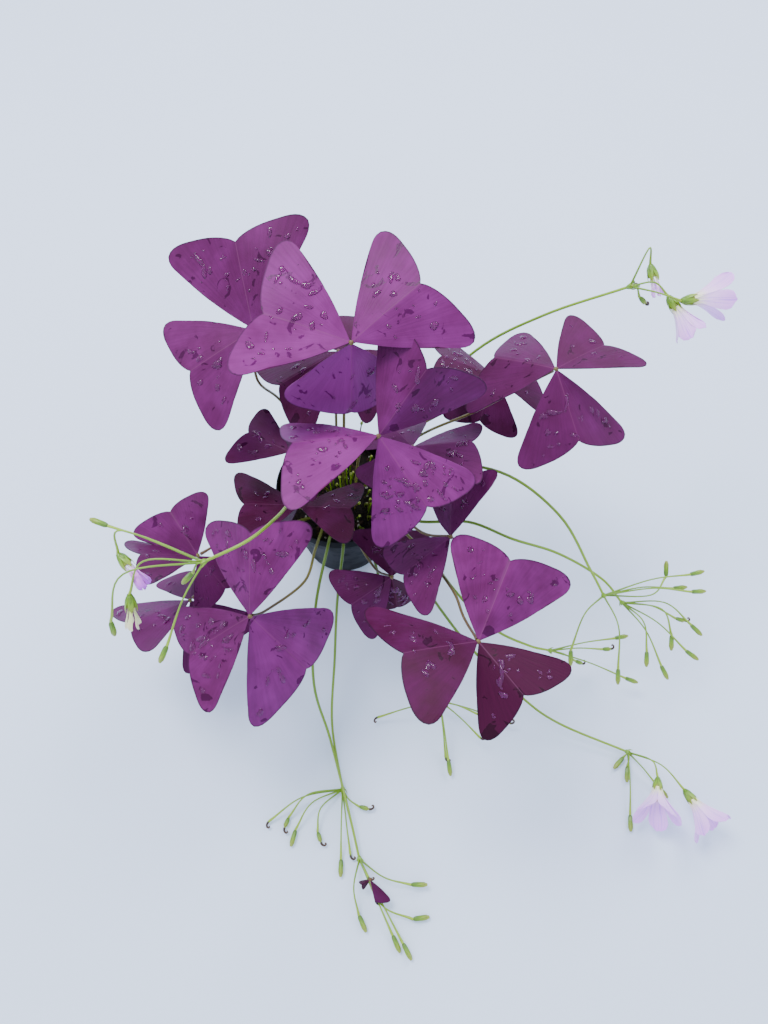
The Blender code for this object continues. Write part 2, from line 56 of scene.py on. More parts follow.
Point = tuple[float, float, float]
Faces = list[tuple[int, ...]]

MM = 0.001
BODY = "root"

# The point attribute that carries the growth marks.
GROWN = "grown"

# The numbers of a colour Mix node's sockets: its two colours, and its result among the outputs.
MIX_A = 6
MIX_B = 7
MIX_RESULT = 2

# How deep the stems stand in the soil, and the height at which their routes leave it.
ROOT_DEPTH = 63.0
ROOT_TOP = 74.0

# How far under a leaf's centre its stalk ends: the knot's radius and a small clearance.
HUB_RADIUS = 1.8
GAP = 0.3

# Where a plain stalk bends, as shares of its height and of its reach.
STALK_RISE = 0.62
STALK_LEAN = 0.36


class Slot(str, Enum):
    """The record's material slots."""

    LEAF = "purple_leaf"
    STALK = "leaf_stalk"
    STEM = "flower_stem"
    PETAL = "petal"
    POT = "pot_plastic"
    SOIL = "potting_soil"


class End(Enum):
    """What a pedicel ends in."""

    BUD = "bud"
    POD = "pod"
    CALYX = "calyx"
    BARE = "bare"


class Stage(Enum):
    """How far a flower has come."""

    OPEN = "open"
    CLOSED = "closed"
    ROLLED = "rolled"
    SPENT = "spent"


def linear(colour: str) -> tuple[float, float, float, float]:
    """Turns an sRGB hex colour into linear values.

    Args:
        colour: six hex digits after a #.

    Returns:
        Red, green, blue and an alpha of 1.
    """
    parts = [int(colour[place:place + 2], 16) / 255 for place in (1, 3, 5)]
    red, green, blue = (
        part / 12.92 if part <= 0.04045 else ((part + 0.055) / 1.055) ** 2.4 for part in parts)
    return red, green, blue, 1.0


def per_metre(size_mm: float) -> float:
    """The texture scale that gives a pattern of this real size in object coordinates."""
    return 1.0 / (size_mm * MM)


def set_inputs(tree: bpy.types.NodeTree, node: bpy.types.Node, inputs: dict[int | str, Any]) -> None:
    """Gives a node its values and its links.

    Args:
        tree: the tree that it is in.
        node: the node.
        inputs: input names or numbers, each with a value, or with the socket or the node that feeds it.
            A node feeds its first output, and a colour Mix node feeds its colour.
    """
    for key, value in inputs.items():
        if isinstance(value, bpy.types.Node):
            colour_mix = getattr(value, "data_type", "") == "RGBA"
            value = value.outputs[MIX_RESULT if colour_mix else 0]
        if isinstance(value, bpy.types.NodeSocket):
            tree.links.new(value, node.inputs[key])
        else:
            node.inputs[key].default_value = value


def add_node(tree: bpy.types.NodeTree, kind: str, inputs: dict[int | str, Any] | None = None,
             stops: Sequence[tuple[float, str]] = (), **settings: Any) -> bpy.types.Node:
    """Adds a shader node with its settings and its links.

    Args:
        tree: the material's node tree.
        kind: the node's Blender type without its ShaderNode.
        inputs: input names or numbers, each with a value, or with the socket or the node that feeds it.
        stops: a colour ramp's places with their sRGB colours.
        **settings: the node's own properties.

    Returns:
        The new node.
    """
    node = tree.nodes.new(f"ShaderNode{kind}")
    for name, value in settings.items():
        setattr(node, name, value)
    set_inputs(tree, node, inputs or {})
    if stops:
        elements = node.color_ramp.elements
        while len(elements) < len(stops):
            elements.new(1.0)
        for element, (place, colour) in zip(elements, stops):
            element.position = place
            element.color = linear(colour)
    return node


def new_material(name: str, constants: dict[str, Any]) -> tuple[bpy.types.Material, bpy.types.Node]:
    """Makes a material with a Principled shader.

    Args:
        name: what the real material is and how its surface was made.
        constants: the shader's inputs that are the same all over.

    Returns:
        The material and its shader.
    """
    material = bpy.data.materials.new(name)
    material.use_nodes = True
    shader = material.node_tree.nodes["Principled BSDF"]
    set_inputs(material.node_tree, shader, constants)
    return material, shader


def growth_marks(tree: bpy.types.NodeTree) -> tuple[bpy.types.NodeSocket, ...]:
    """Reads the growth marks of the piece that a material is on.

    Args:
        tree: the material's node tree.

    Returns:
        The sockets for a point's share along, its place across or round, and the tone of the whole.
    """
    grown = add_node(tree, "Attribute", attribute_name=GROWN)
    marks = add_node(tree, "SeparateXYZ", {0: grown.outputs["Vector"]})
    return tuple(marks.outputs)


@dataclass(frozen=True)
class LeafSkin:
    """Grown leaf skin: a waxy cuticle over cells full of purple sap.

    The eye sees a satin purple with a lilac sheen, soft blotches, faint veins that fan out from the
    stalk, a thin dark margin, and darker glossy smears where water has wetted it.
    """

    name: str
    shades: tuple[str, str, str]
    rib: str
    margin: str
    wet: str
    roughness: tuple[float, float]
    sheen: float
    vein_relief_mm: float
    blotch_mm: float = 15.0
    # The skin's cells are about 0.05 mm wide. They are drawn at 0.7 mm, so that they show.
    cell_mm: float = 0.7
    wet_mm: float = 11.0
    wet_edge: tuple[float, float] = (0.625, 0.655)
    wet_roughness: float = 0.26
    # A leaflet has hundreds of fine veins. This many are drawn, so that they can be told apart.
    veins_across: float = 34.0
    vein_edge: tuple[float, float] = (0.35, 0.62)
    vein_shade: float = 0.88
    rib_edge: tuple[float, float] = (0.002, 0.007)
    rib_share: float = 0.35
    margin_edge: tuple[float, float] = (0.98, 0.999)
    margin_share: float = 0.65

    def material(self) -> bpy.types.Material:
        """Builds the material.

        Returns:
            The new material.
        """
        material, shader = new_material(self.name, {
            "Specular IOR Level": 0.1, "Sheen Weight": self.sheen, "Sheen Roughness": 0.45,
            "Sheen Tint": linear("#D9A8E0")})
        tree = material.node_tree
        along, across, tone = growth_marks(tree)
        place = add_node(tree, "TexCoord").outputs["Object"]
        blotch = add_node(tree, "TexNoise",
                          {"Vector": place, "Scale": per_metre(self.blotch_mm), "Detail": 3.0})
        # The tone, partly the leaflet's own purple and partly painted light and shade, picks the colour.
        shade = add_node(tree, "Math", {0: blotch, 1: 0.5, 2: tone}, operation="MULTIPLY_ADD")
        deep, middle, bright = self.shades
        colour = add_node(tree, "ValToRGB", {0: shade},
                          stops=((0.25, deep), (0.62, middle), (1.0, bright)))

        fan = add_node(tree, "Math", {0: across, 1: self.veins_across}, operation="MULTIPLY")
        run = add_node(tree, "Math", {0: along, 1: 2.5}, operation="MULTIPLY")
        spot = add_node(tree, "Math", {0: tone, 1: 90.0}, operation="MULTIPLY")
        lines = add_node(tree, "CombineXYZ", {0: fan, 1: run, 2: spot})
        veins = add_node(tree, "TexNoise", {"Vector": lines, "Scale": 1.0, "Detail": 2.0})
        vein = add_node(tree, "MapRange", {
            "Value": veins, "From Min": self.vein_edge[0], "From Max": self.vein_edge[1],
            "To Min": self.vein_shade, "To Max": 1.0})
        veined = add_node(tree, "Mix", {0: 1.0, MIX_A: colour, MIX_B: vein},
                          data_type="RGBA", blend_type="MULTIPLY")

        smear = add_node(tree, "TexNoise", {
            "Vector": place, "Scale": per_metre(self.wet_mm), "Detail": 4.0, "Distortion": 1.2})
        wetness = add_node(tree, "MapRange", {
            "Value": smear, "From Min": self.wet_edge[0], "From Max": self.wet_edge[1]},
            interpolation_type="SMOOTHSTEP")
        wetted = add_node(tree, "Mix", {0: wetness, MIX_A: veined, MIX_B: linear(self.wet)},
                          data_type="RGBA", blend_type="MULTIPLY")

        sideways = add_node(tree, "Math", {0: across}, operation="ABSOLUTE")
        from_rib = add_node(tree, "Math", {0: sideways, 1: along}, operation="MULTIPLY")
        rib = add_node(tree, "MapRange", {
            "Value": from_rib, "From Min": self.rib_edge[0], "From Max": self.rib_edge[1],
            "To Min": self.rib_share, "To Max": 0.0}, interpolation_type="SMOOTHSTEP")
        ribbed = add_node(tree, "Mix", {0: rib, MIX_A: wetted, MIX_B: linear(self.rib)}, data_type="RGBA")

        outward = add_node(tree, "Math", {0: along, 1: sideways}, operation="MAXIMUM")
        margin = add_node(tree, "MapRange", {
            "Value": outward, "From Min": self.margin_edge[0], "From Max": self.margin_edge[1],
            "To Max": self.margin_share}, interpolation_type="SMOOTHSTEP")
        edged = add_node(tree, "Mix", {0: margin, MIX_A: ribbed, MIX_B: linear(self.margin)},
                         data_type="RGBA")

        smooth, matt = self.roughness
        dry = add_node(tree, "MapRange", {
            "Value": blotch, "From Min": 0.3, "From Max": 0.7, "To Min": smooth, "To Max": matt})
        rough = add_node(tree, "Mix", {0: wetness, 2: dry, 3: self.wet_roughness})

        cells = add_node(tree, "TexNoise", {
            "Vector": place, "Scale": per_metre(self.cell_mm), "Detail": 2.0})
        pores = add_node(tree, "Bump", {"Strength": 0.5, "Distance": 0.12 * MM, "Height": cells})
        relief = add_node(tree, "Bump", {
            "Strength": 0.6, "Distance": self.vein_relief_mm * MM, "Height": veins,
            "Normal": pores})
        set_inputs(tree, shader, {"Base Color": edged, "Roughness": rough, "Normal": relief})
        return material


@dataclass(frozen=True)
class StemSkin:
    """Grown stem skin: smooth and juicy, its colour changing from the foot to the far end.

    The eye sees a soft gloss on a thin round stem, with faint streaks along it.
    """

    name: str
    foot: str
    middle: str
    far: str
    streak: str
    roughness: float = 0.38
    streaks_round: float = 9.0
    # The pores are about 0.03 mm wide. They are drawn at 0.5 mm, so that the skin isn't glassy.
    pore_mm: float = 0.5

    def material(self) -> bpy.types.Material:
        """Builds the material.

        Returns:
            The new material.
        """
        material, shader = new_material(self.name, {
            "Roughness": self.roughness, "Specular IOR Level": 0.5, "Subsurface Weight": 0.12,
            "Subsurface Radius": (0.8, 1.0, 0.3), "Subsurface Scale": 0.6 * MM})
        tree = material.node_tree
        along, round_it, tone = growth_marks(tree)
        colour = add_node(tree, "ValToRGB", {0: along},
                          stops=((0.0, self.foot), (0.5, self.middle), (1.0, self.far)))
        turn = add_node(tree, "Math", {0: round_it, 1: self.streaks_round}, operation="MULTIPLY")
        run = add_node(tree, "Math", {0: along, 1: 6.0}, operation="MULTIPLY")
        lines = add_node(tree, "CombineXYZ", {0: turn, 1: run, 2: tone})
        streaks = add_node(tree, "TexNoise", {"Vector": lines, "Scale": 1.0, "Detail": 2.0})
        share = add_node(tree, "MapRange", {
            "Value": streaks, "From Min": 0.45, "From Max": 0.75, "To Max": 0.6})
        mixed = add_node(tree, "Mix", {
            0: share, MIX_A: colour, MIX_B: linear(self.streak)}, data_type="RGBA")
        place = add_node(tree, "TexCoord").outputs["Object"]
        pores = add_node(tree, "TexNoise", {"Vector": place, "Scale": per_metre(self.pore_mm)})
        relief = add_node(tree, "Bump", {"Strength": 0.4, "Distance": 0.08 * MM, "Height": pores})
        set_inputs(tree, shader, {"Base Color": mixed, "Normal": relief})
        return material


@dataclass(frozen=True)
class PetalSkin:
    """Grown petal: thin, matt and a little see-through, with hair-fine veins.

    The eye sees pale lilac that fades to a white throat, with deeper lines along each petal.
    """

    name: str
    throat: str
    middle: str
    lip: str
    vein: str
    veins_across: float = 9.0

    def material(self) -> bpy.types.Material:
        """Builds the material.

        Returns:
            The new material.
        """
        material, shader = new_material(self.name, {
            "Roughness": 0.55, "Specular IOR Level": 0.3, "Sheen Weight": 0.25, "Sheen Roughness": 0.5,
            "Subsurface Weight": 0.35, "Subsurface Radius": (1.0, 0.7, 1.0), "Subsurface Scale": 0.8 * MM})
        tree = material.node_tree
        along, across, tone = growth_marks(tree)
        colour = add_node(tree, "ValToRGB", {0: along},
                          stops=((0.08, self.throat), (0.38, self.middle), (0.95, self.lip)))
        fan = add_node(tree, "Math", {0: across, 1: self.veins_across}, operation="MULTIPLY")
        lines = add_node(tree, "CombineXYZ", {0: fan, 1: along, 2: tone})
        veins = add_node(tree, "TexNoise", {"Vector": lines, "Scale": 1.0, "Detail": 1.0})
        share = add_node(tree, "MapRange", {
            "Value": veins, "From Min": 0.5, "From Max": 0.7, "To Max": 0.55})
        mixed = add_node(tree, "Mix", {
            0: share, MIX_A: colour, MIX_B: linear(self.vein)}, data_type="RGBA")
        relief = add_node(tree, "Bump", {"Strength": 0.5, "Distance": 0.2 * MM, "Height": veins})
        set_inputs(tree, shader, {"Base Color": mixed, "Normal": relief})
        return material


@dataclass(frozen=True)
class CrumbSkin:
    """Loose dry stuff, milled or broken: matt, with light and dark crumbs and a rough surface."""

    name: str
    dark: str
    middle: str
    light: str
    crumb_mm: float
    relief_mm: float
    roughness: float = 0.92

    def material(self) -> bpy.types.Material:
        """Builds the material.

        Returns:
            The new material.
        """
        material, shader = new_material(self.name, {
            "Roughness": self.roughness, "Specular IOR Level": 0.25})
        tree = material.node_tree
        place = add_node(tree, "TexCoord").outputs["Object"]
        crumbs = add_node(tree, "TexNoise", {
            "Vector": place, "Scale": per_metre(self.crumb_mm), "Detail": 5.0, "Roughness": 0.7})
        colour = add_node(tree, "ValToRGB", {0: crumbs},
                          stops=((0.32, self.dark), (0.52, self.middle), (0.72, self.light)))
        relief = add_node(tree, "Bump", {
            "Strength": 0.9, "Distance": self.relief_mm * MM, "Height": crumbs})
        set_inputs(tree, shader, {"Base Color": colour, "Normal": relief})
        return material


@dataclass(frozen=True)
class MouldedPolypropylene:
    """Black polypropylene, injection moulded in a polished mould and handled since.

    The eye sees a near-black gloss with a faint orange-peel, duller where soil dust has dried on it.
    """

    name: str = "black_polypropylene_injection_moulded"
    plastic: str = "#050506"
    dust: str = "#12100E"
    peel_mm: float = 3.0
    dust_mm: float = 16.0

    def material(self) -> bpy.types.Material:
        """Builds the material.

        Returns:
            The new material.
        """
        material, shader = new_material(self.name, {"IOR": 1.49, "Specular IOR Level": 0.06})
        tree = material.node_tree
        place = add_node(tree, "TexCoord").outputs["Object"]
        clouds = add_node(tree, "TexNoise", {
            "Vector": place, "Scale": per_metre(self.dust_mm), "Detail": 6.0, "Roughness": 0.65})
        dusty = add_node(tree, "MapRange", {
            "Value": clouds, "From Min": 0.48, "From Max": 0.75, "To Max": 0.7})
        colour = add_node(tree, "Mix", {
            0: dusty, MIX_A: linear(self.plastic), MIX_B: linear(self.dust)}, data_type="RGBA")
        rough = add_node(tree, "MapRange", {"Value": dusty, "To Min": 0.48, "To Max": 0.75})
        peel = add_node(tree, "TexNoise", {"Vector": place, "Scale": per_metre(self.peel_mm)})
        relief = add_node(tree, "Bump", {"Strength": 0.25, "Distance": 0.1 * MM, "Height": peel})
        set_inputs(tree, shader, {"Base Color": colour, "Roughness": rough, "Normal": relief})
        return material


@dataclass(frozen=True)
class RainWater:
    """Clear water, sprayed on and beaded by the wax of the leaf.

    The eye sees domes with a bright point. Their magenta tint is painted light: the lit leaf's colour seen
    through them.
    """

    name: str = "water_beads_with_painted_leaf_light"
    # Painted light: the lit leaf's colour seen through a drop, painted into the water as a magenta tint.
    through: str = "#CC58C0"
    ripple_mm: float = 1.6

    def material(self) -> bpy.types.Material:
        """Builds the material.

        Returns:
            The new material.
        """
        material, shader = new_material(self.name, {
            "Base Color": linear(self.through), "Roughness": 0.03, "IOR": 1.33,
            "Transmission Weight": 0.93})
        tree = material.node_tree
        place = add_node(tree, "TexCoord").outputs["Object"]
        ripple = add_node(tree, "TexNoise", {"Vector": place, "Scale": per_metre(self.ripple_mm)})
        relief = add_node(tree, "Bump", {"Strength": 0.3, "Distance": 0.15 * MM, "Height": ripple})
        set_inputs(tree, shader, {"Normal": relief})
        return material


@dataclass(frozen=True)
class PaintedBoard:
    """Floor board under matt emulsion, rolled on: pale blue-grey with the faintest roller mottle."""

    name: str = "matt_emulsion_rolled_on_board"
    paint: str = "#D2DFF6"
    mottle: str = "#CDDAF2"
    mottle_mm: float = 220.0

    def material(self) -> bpy.types.Material:
        """Builds the material.

        Returns:
            The new material.
        """
        material, shader = new_material(self.name, {"Roughness": 0.9, "Specular IOR Level": 0.2})
        tree = material.node_tree
        place = add_node(tree, "TexCoord").outputs["Object"]
        clouds = add_node(tree, "TexNoise", {"Vector": place, "Scale": per_metre(self.mottle_mm)})
        colour = add_node(tree, "Mix", {
            0: clouds, MIX_A: linear(self.paint), MIX_B: linear(self.mottle)}, data_type="RGBA")
        set_inputs(tree, shader, {"Base Color": colour})
        return material


class Finishes:
    """Every material of the plant, each built once."""

    def __init__(self) -> None:
        """Builds them."""
        # The upper skin is waxy: satin purple with the faintest lilac sheen.
        self.leaf_top = LeafSkin(
            "leaf_upper_skin_waxy", ("#3A0228", "#54144A", "#7A2A74"), "#6E3A5E", "#1E0C1E", "#B860B8",
            (0.4, 0.52), 0.03, 0.25).material()
        # The lower skin has no wax: duller and redder, with its veins raised.
        self.leaf_back = LeafSkin(
            "leaf_underside_skin_matt", ("#2E0426", "#500E44", "#74245C"), "#6E3A4E", "#1E0C1E", "#B870B0",
            (0.5, 0.65), 0.0, 0.5).material()
        # Leaf stalks are olive at the foot and brown at the far end, with darker streaks.
        self.stalk = StemSkin(
            "leaf_stalk_skin_juicy", "#5E6E20", "#665E22", "#5A3C20", "#46301C").material()
        # Flower stems, pedicels, buds and sepals are fresh green, paler and yellower towards the tip.
        self.stem = StemSkin(
            "flower_stem_skin_juicy", "#485E08", "#5E800E", "#80A018", "#3A4E08").material()
        self.pedicel = StemSkin(
            "pedicel_skin_juicy", "#5E820E", "#74981A", "#92AE26", "#4A660C").material()
        self.bud = StemSkin(
            "bud_skin_ribbed", "#4A6E0A", "#648A18", "#909838", "#3A580C").material()
        self.sepal = StemSkin(
            "sepal_skin_ribbed", "#5C860E", "#749C18", "#8C942C", "#48660C").material()
        # Petals: lilac when open, violet when rolled up, straw-coloured and papery when they fade.
        self.petal = PetalSkin(
            "petal_lilac_thin", "#F0F6B0", "#F4C8FF", "#E6A2FF", "#A868EC").material()
        self.petal_rolled = PetalSkin(
            "petal_lilac_rolled", "#FFE4F8", "#E890E8", "#B850D8", "#8038C0").material()
        self.petal_spent = PetalSkin(
            "petal_faded_papery", "#C4D280", "#D6DCA0", "#E4DCBC", "#98A45C").material()
        # Withered petals: dry and papery, curled up, dull brown.
        self.wisp = StemSkin(
            "petal_withered_dry", "#2E1C12", "#3C2416", "#5A4030", "#1E120C", 0.7).material()
        # Anthers: dusty with yellow pollen.
        self.anther = CrumbSkin("anther_pollen_dusty", "#B9A545", "#D9C766", "#EDE29A", 0.6, 0.1).material()
        # Water beads, tinted magenta: painted light for the lit leaf seen through them.
        self.water = RainWater().material()
        self.pot = MouldedPolypropylene().material()
        # Milled peat: near black when moist, with brown fibres that catch the light.
        self.peat = CrumbSkin("peat_milled_moist", "#080605", "#150E0A", "#2C2017", 1.8, 1.2).material()
        # Pine bark, broken: flat chips with a reddish brown face.
        self.bark = CrumbSkin("pine_bark_broken", "#150C07", "#2A190F", "#4A3020", 2.2, 0.6).material()
        # Perlite, volcanic glass puffed by heat: white, dull and full of pits.
        self.perlite = CrumbSkin("perlite_expanded", "#8F8B82", "#B3AFA6", "#D0CDC6", 0.9, 0.4).material()
        self.floor = PaintedBoard().material()


class Draft:
    """Points, growth marks and faces gathered for one piece, in millimetres, before it is a mesh.

    A growth mark is where a point lies on what grew: its share along, its place across or round,
    and the tone of the whole.
    """

    def __init__(self) -> None:
        """Starts with nothing."""
        self.points: list[np.ndarray] = []
        self.marks: list[np.ndarray] = []
        self.faces: Faces = []
        self.finishes: list[int] = []
        self.count = 0

    def add(self, points: np.ndarray, marks: np.ndarray, faces: Faces, finish: int) -> None:
        """Adds a patch.

        Args:
            points: rows of x, y and z.
            marks: a growth mark for each point.
            faces: point numbers, counted from the patch's first point.
            finish: the number of the piece's material.
        """
        self.points.append(points)
        self.marks.append(marks)
        self.faces.extend(tuple(index + self.count for index in face) for face in faces)
        self.finishes.extend([finish] * len(faces))
        self.count += len(points)

    def piece(self, name: str, materials: Sequence[bpy.types.Material],
              replaced: Sequence[str] = (), sharp: float = 50.0) -> bpy.types.Object:
        """Turns the draft into a piece that rides on the part.

        Args:
            name: the piece's name.
            materials: its materials, in the order of the finish numbers.
            replaced: the CAD nodes that it stands for.
            sharp: the angle in degrees from which an edge is shaded sharp.

        Returns:
            The new object.
        """
        mesh = bpy.data.meshes.new(name)
        mesh.from_pydata((np.concatenate(self.points) * MM).tolist(), [], self.faces)
        attribute = mesh.attributes.new(GROWN, "FLOAT_VECTOR", "POINT")
        attribute.data.foreach_set("vector", np.concatenate(self.marks).astype(np.float32).ravel())
        mesh.polygons.foreach_set("material_index", self.finishes)
        for material in materials:
            mesh.materials.append(material)
        mesh.update()
        mesh.shade_smooth()
        mesh.set_sharp_from_angle(angle=math.radians(sharp))
        return settle(add_object(name, mesh), replaced)


def add_object(name: str, data: bpy.types.ID) -> bpy.types.Object:
    """Puts a mesh, a light or a camera into the scene.

    Args:
        name: the object's name.
        data: what it shows.

    Returns:
        The new object.
    """
    item = bpy.data.objects.new(name, data)
    bpy.context.scene.collection.objects.link(item)
    return item


def settle(item: bpy.types.Object, replaced: Sequence[str] = ()) -> bpy.types.Object:
    """Lets a finished piece ride on the part and reports it.

    Args:
        item: the piece.
        replaced: the CAD nodes that it stands for.

    Returns:
        The same piece.
    """
    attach(item, BODY)
    if replaced:
        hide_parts(*replaced)
    LOG.info("%s: %d faces", item.name, len(item.data.polygons))
    return item


def length_of(vectors: np.ndarray) -> np.ndarray:
    """The length of each vector, kept as a last column."""
    return np.linalg.norm(vectors, axis=-1, keepdims=True)


def unit(vector: Sequence[float] | np.ndarray) -> np.ndarray:
    """A vector of length 1 the same way."""
    vector = np.asarray(vector, float)
    return vector / length_of(vector)


def cross_ways(way: np.ndarray) -> tuple[np.ndarray, np.ndarray]:
    """Finds two directions square to a way and to each other.

    Args:
        way: a vector of length 1.

    Returns:
        The two directions, each of length 1.
    """
    helper = np.array((0.0, 0.0, 1.0)) if abs(way[2]) < 0.9 else np.array((1.0, 0.0, 0.0))
    first = unit(np.cross(helper, way))
    return first, np.cross(way, first)


def smooth_route(points: Sequence[Sequence[float]], steps: int) -> np.ndarray:
    """Reads a smooth curve that runs through the given points.

    Args:
        points: at least two points.
        steps: how often it is read between each two.

    Returns:
        The points of the curve, the first and the last included.
    """
    route = [np.asarray(point, float) for point in points]
    padded = [route[0] * 2 - route[1], *route, route[-1] * 2 - route[-2]]
    read = []
    for before, start, end, after in zip(padded, padded[1:], padded[2:], padded[3:]):
        for along in np.arange(steps) / steps:
            read.append(0.5 * (2 * start + (end - before) * along
                               + (2 * before - 5 * start + 4 * end - after) * along ** 2
                               + (3 * start - before - 3 * end + after) * along ** 3))
    read.append(route[-1])
    return np.array(read)


def strip_faces(rows: int, columns: int, closed: bool = False) -> Faces:
    """The quads of a net of points.

    Args:
        rows: how many rows of points.
        columns: how many points in a row.
        closed: whether each row's end joins its start.

    Returns:
        Faces whose outer side is on the left of the rows' direction.
    """
    spans = columns if closed else columns - 1
    faces = []
    for row in range(rows - 1):
        for column in range(spans):
            after = (column + 1) % columns
            here, above = row * columns, (row + 1) * columns
            faces.append((here + column, above + column, above + after, here + after))
    return faces


def sweep(draft: Draft, route: np.ndarray, radii: Sequence[float], finish: int, tone: float = 0.5,
          sides: int = 12, ribs: tuple[int, float] = (0, 0.0)) -> None:
    """Adds a closed round body along a route.

    Args:
        draft: what it is added to.
        route: the points of its middle line.
        radii: its radius at each point.
        finish: the number of its material.
        tone: the growth mark's tone.
        sides: how many sides it has.
        ribs: how many ribs run along it, and their height as a share of the radius.
    """
    ways = np.gradient(route, axis=0)
    ways = ways / length_of(ways)
    shares = np.concatenate(([0.0], np.cumsum(length_of(np.diff(route, axis=0)))))
    shares = shares / shares[-1]
    angles = np.arange(sides) * math.tau / sides
    swell = 1.0 + ribs[1] * np.cos(ribs[0] * angles)
    side = cross_ways(ways[0])[0]
    rings, marks = [], []
    for spot, way, radius, share in zip(route, ways, radii, shares):
        side = unit(side - way * np.dot(side, way))
        other = np.cross(way, side)
        rings.append(spot + np.outer(radius * swell * np.cos(angles), side)
                     + np.outer(radius * swell * np.sin(angles), other))
        marks.append(np.column_stack((np.full(sides, share), angles / math.tau, np.full(sides, tone))))
    faces = [face[::-1] for face in strip_faces(len(route), sides, closed=True)]
    faces.append(tuple(reversed(range(sides))))
    last = (len(route) - 1) * sides
    faces.append(tuple(range(last, last + sides)))
    draft.add(np.concatenate(rings), np.concatenate(marks), faces, finish)


def sheet(draft: Draft, points: np.ndarray, marks: np.ndarray, thickness: float,
          top: int, back: int) -> None:
    """Adds a thin closed sheet round a net of points.

    Args:
        draft: what it is added to.
        points: the middle surface, rows by columns by 3. Its top lies where rows cross columns.
        marks: a growth mark for each point, in the same order.
        thickness: how thick it is.
        top: the number of the upper side's material.
        back: the number of the lower side's and the rim's material.
    """
    rows, columns = points.shape[:2]
    normals = np.cross(np.gradient(points, axis=0), np.gradient(points, axis=1))
    normals = normals / np.maximum(length_of(normals), 1e-9)
    half = normals * thickness / 2
    flat_marks = marks.reshape(-1, 3)
    both = np.concatenate(((points + half).reshape(-1, 3), (points - half).reshape(-1, 3)))
    size = rows * columns
    upper = strip_faces(rows, columns)
    lower = [tuple(index + size for index in reversed(face)) for face in upper]
    left = [row * columns for row in range(rows)]
    far = [(rows - 1) * columns + column for column in range(1, columns)]
    right = [row * columns + columns - 1 for row in range(rows - 2, -1, -1)]
    near = list(range(columns - 2, 0, -1))
    loop = left + far + right + near
    rim = [(end, start, start + size, end + size) for start, end in zip(loop, loop[1:] + loop[:1])]
    draft.add(both, np.concatenate((flat_marks, flat_marks)), upper + lower + rim, back)
    draft.finishes[-len(upper + lower + rim):] = [top] * len(upper) + [back] * len(lower + rim)


def net(rows: int, columns: int) -> tuple[np.ndarray, np.ndarray]:
    """Shares along, from 0 to 1, and across, from -1 to 1, for a net of points."""
    along, across = np.meshgrid(np.linspace(0, 1, rows), np.linspace(-1, 1, columns), indexing="ij")
    return along, across


def net_marks(along: np.ndarray, across: np.ndarray, tone: float) -> np.ndarray:
    """Growth marks for a net of points with one tone."""
    return np.stack((along, across, np.full_like(along, tone)), axis=-1)


def lobe_outline(points: Sequence[tuple[float, float]], steps: int = 16) -> tuple[np.ndarray, ...]:
    """Reads half a leaflet's far edge as a smooth curve, evenly along its length.

    Args:
        points: reach and spread from the notch round the lobe to where the straight side starts.
        steps: how finely it is read between each two points.

    Returns:
        The shares of its length from 0 to 1, and the reach and the spread at each.
    """
    curve = smooth_route(points, steps)
    run = np.concatenate(([0.0], np.cumsum(length_of(np.diff(curve, axis=0)))))
    return run / run[-1], curve[:, 0], curve[:, 1]


# Half a leaflet's far edge, from its notch round the lobe to where the straight side starts: reach and
# spread, as shares of the leaflet's size.
LOBE_EDGE = ((0.74, 0.0), (0.775, 0.05), (0.81, 0.14), (0.835, 0.26), (0.845, 0.40), (0.845, 0.51),
             (0.82, 0.60), (0.765, 0.648), (0.69, 0.635), (0.61, 0.575), (0.52, 0.495))
LOBE = lobe_outline(LOBE_EDGE)

# A drop's rings from its top to its hidden underside: their radii and heights as shares of its radius,
# how high its dome stands, and how near to a leaflet's edge it may lie.
DROP_RINGS = (0.0, 0.35, 0.62, 0.83, 0.96, 1.03, 0.5)
DROP_RISES = (1.0, 0.95, 0.8, 0.55, 0.25, -0.12, -0.12)
DROP_DOME = 0.42
DROP_SIDES = 14
DROP_NEAREST = 0.02
DROP_FARTHEST = 0.97
DROP_WIDEST = 0.74


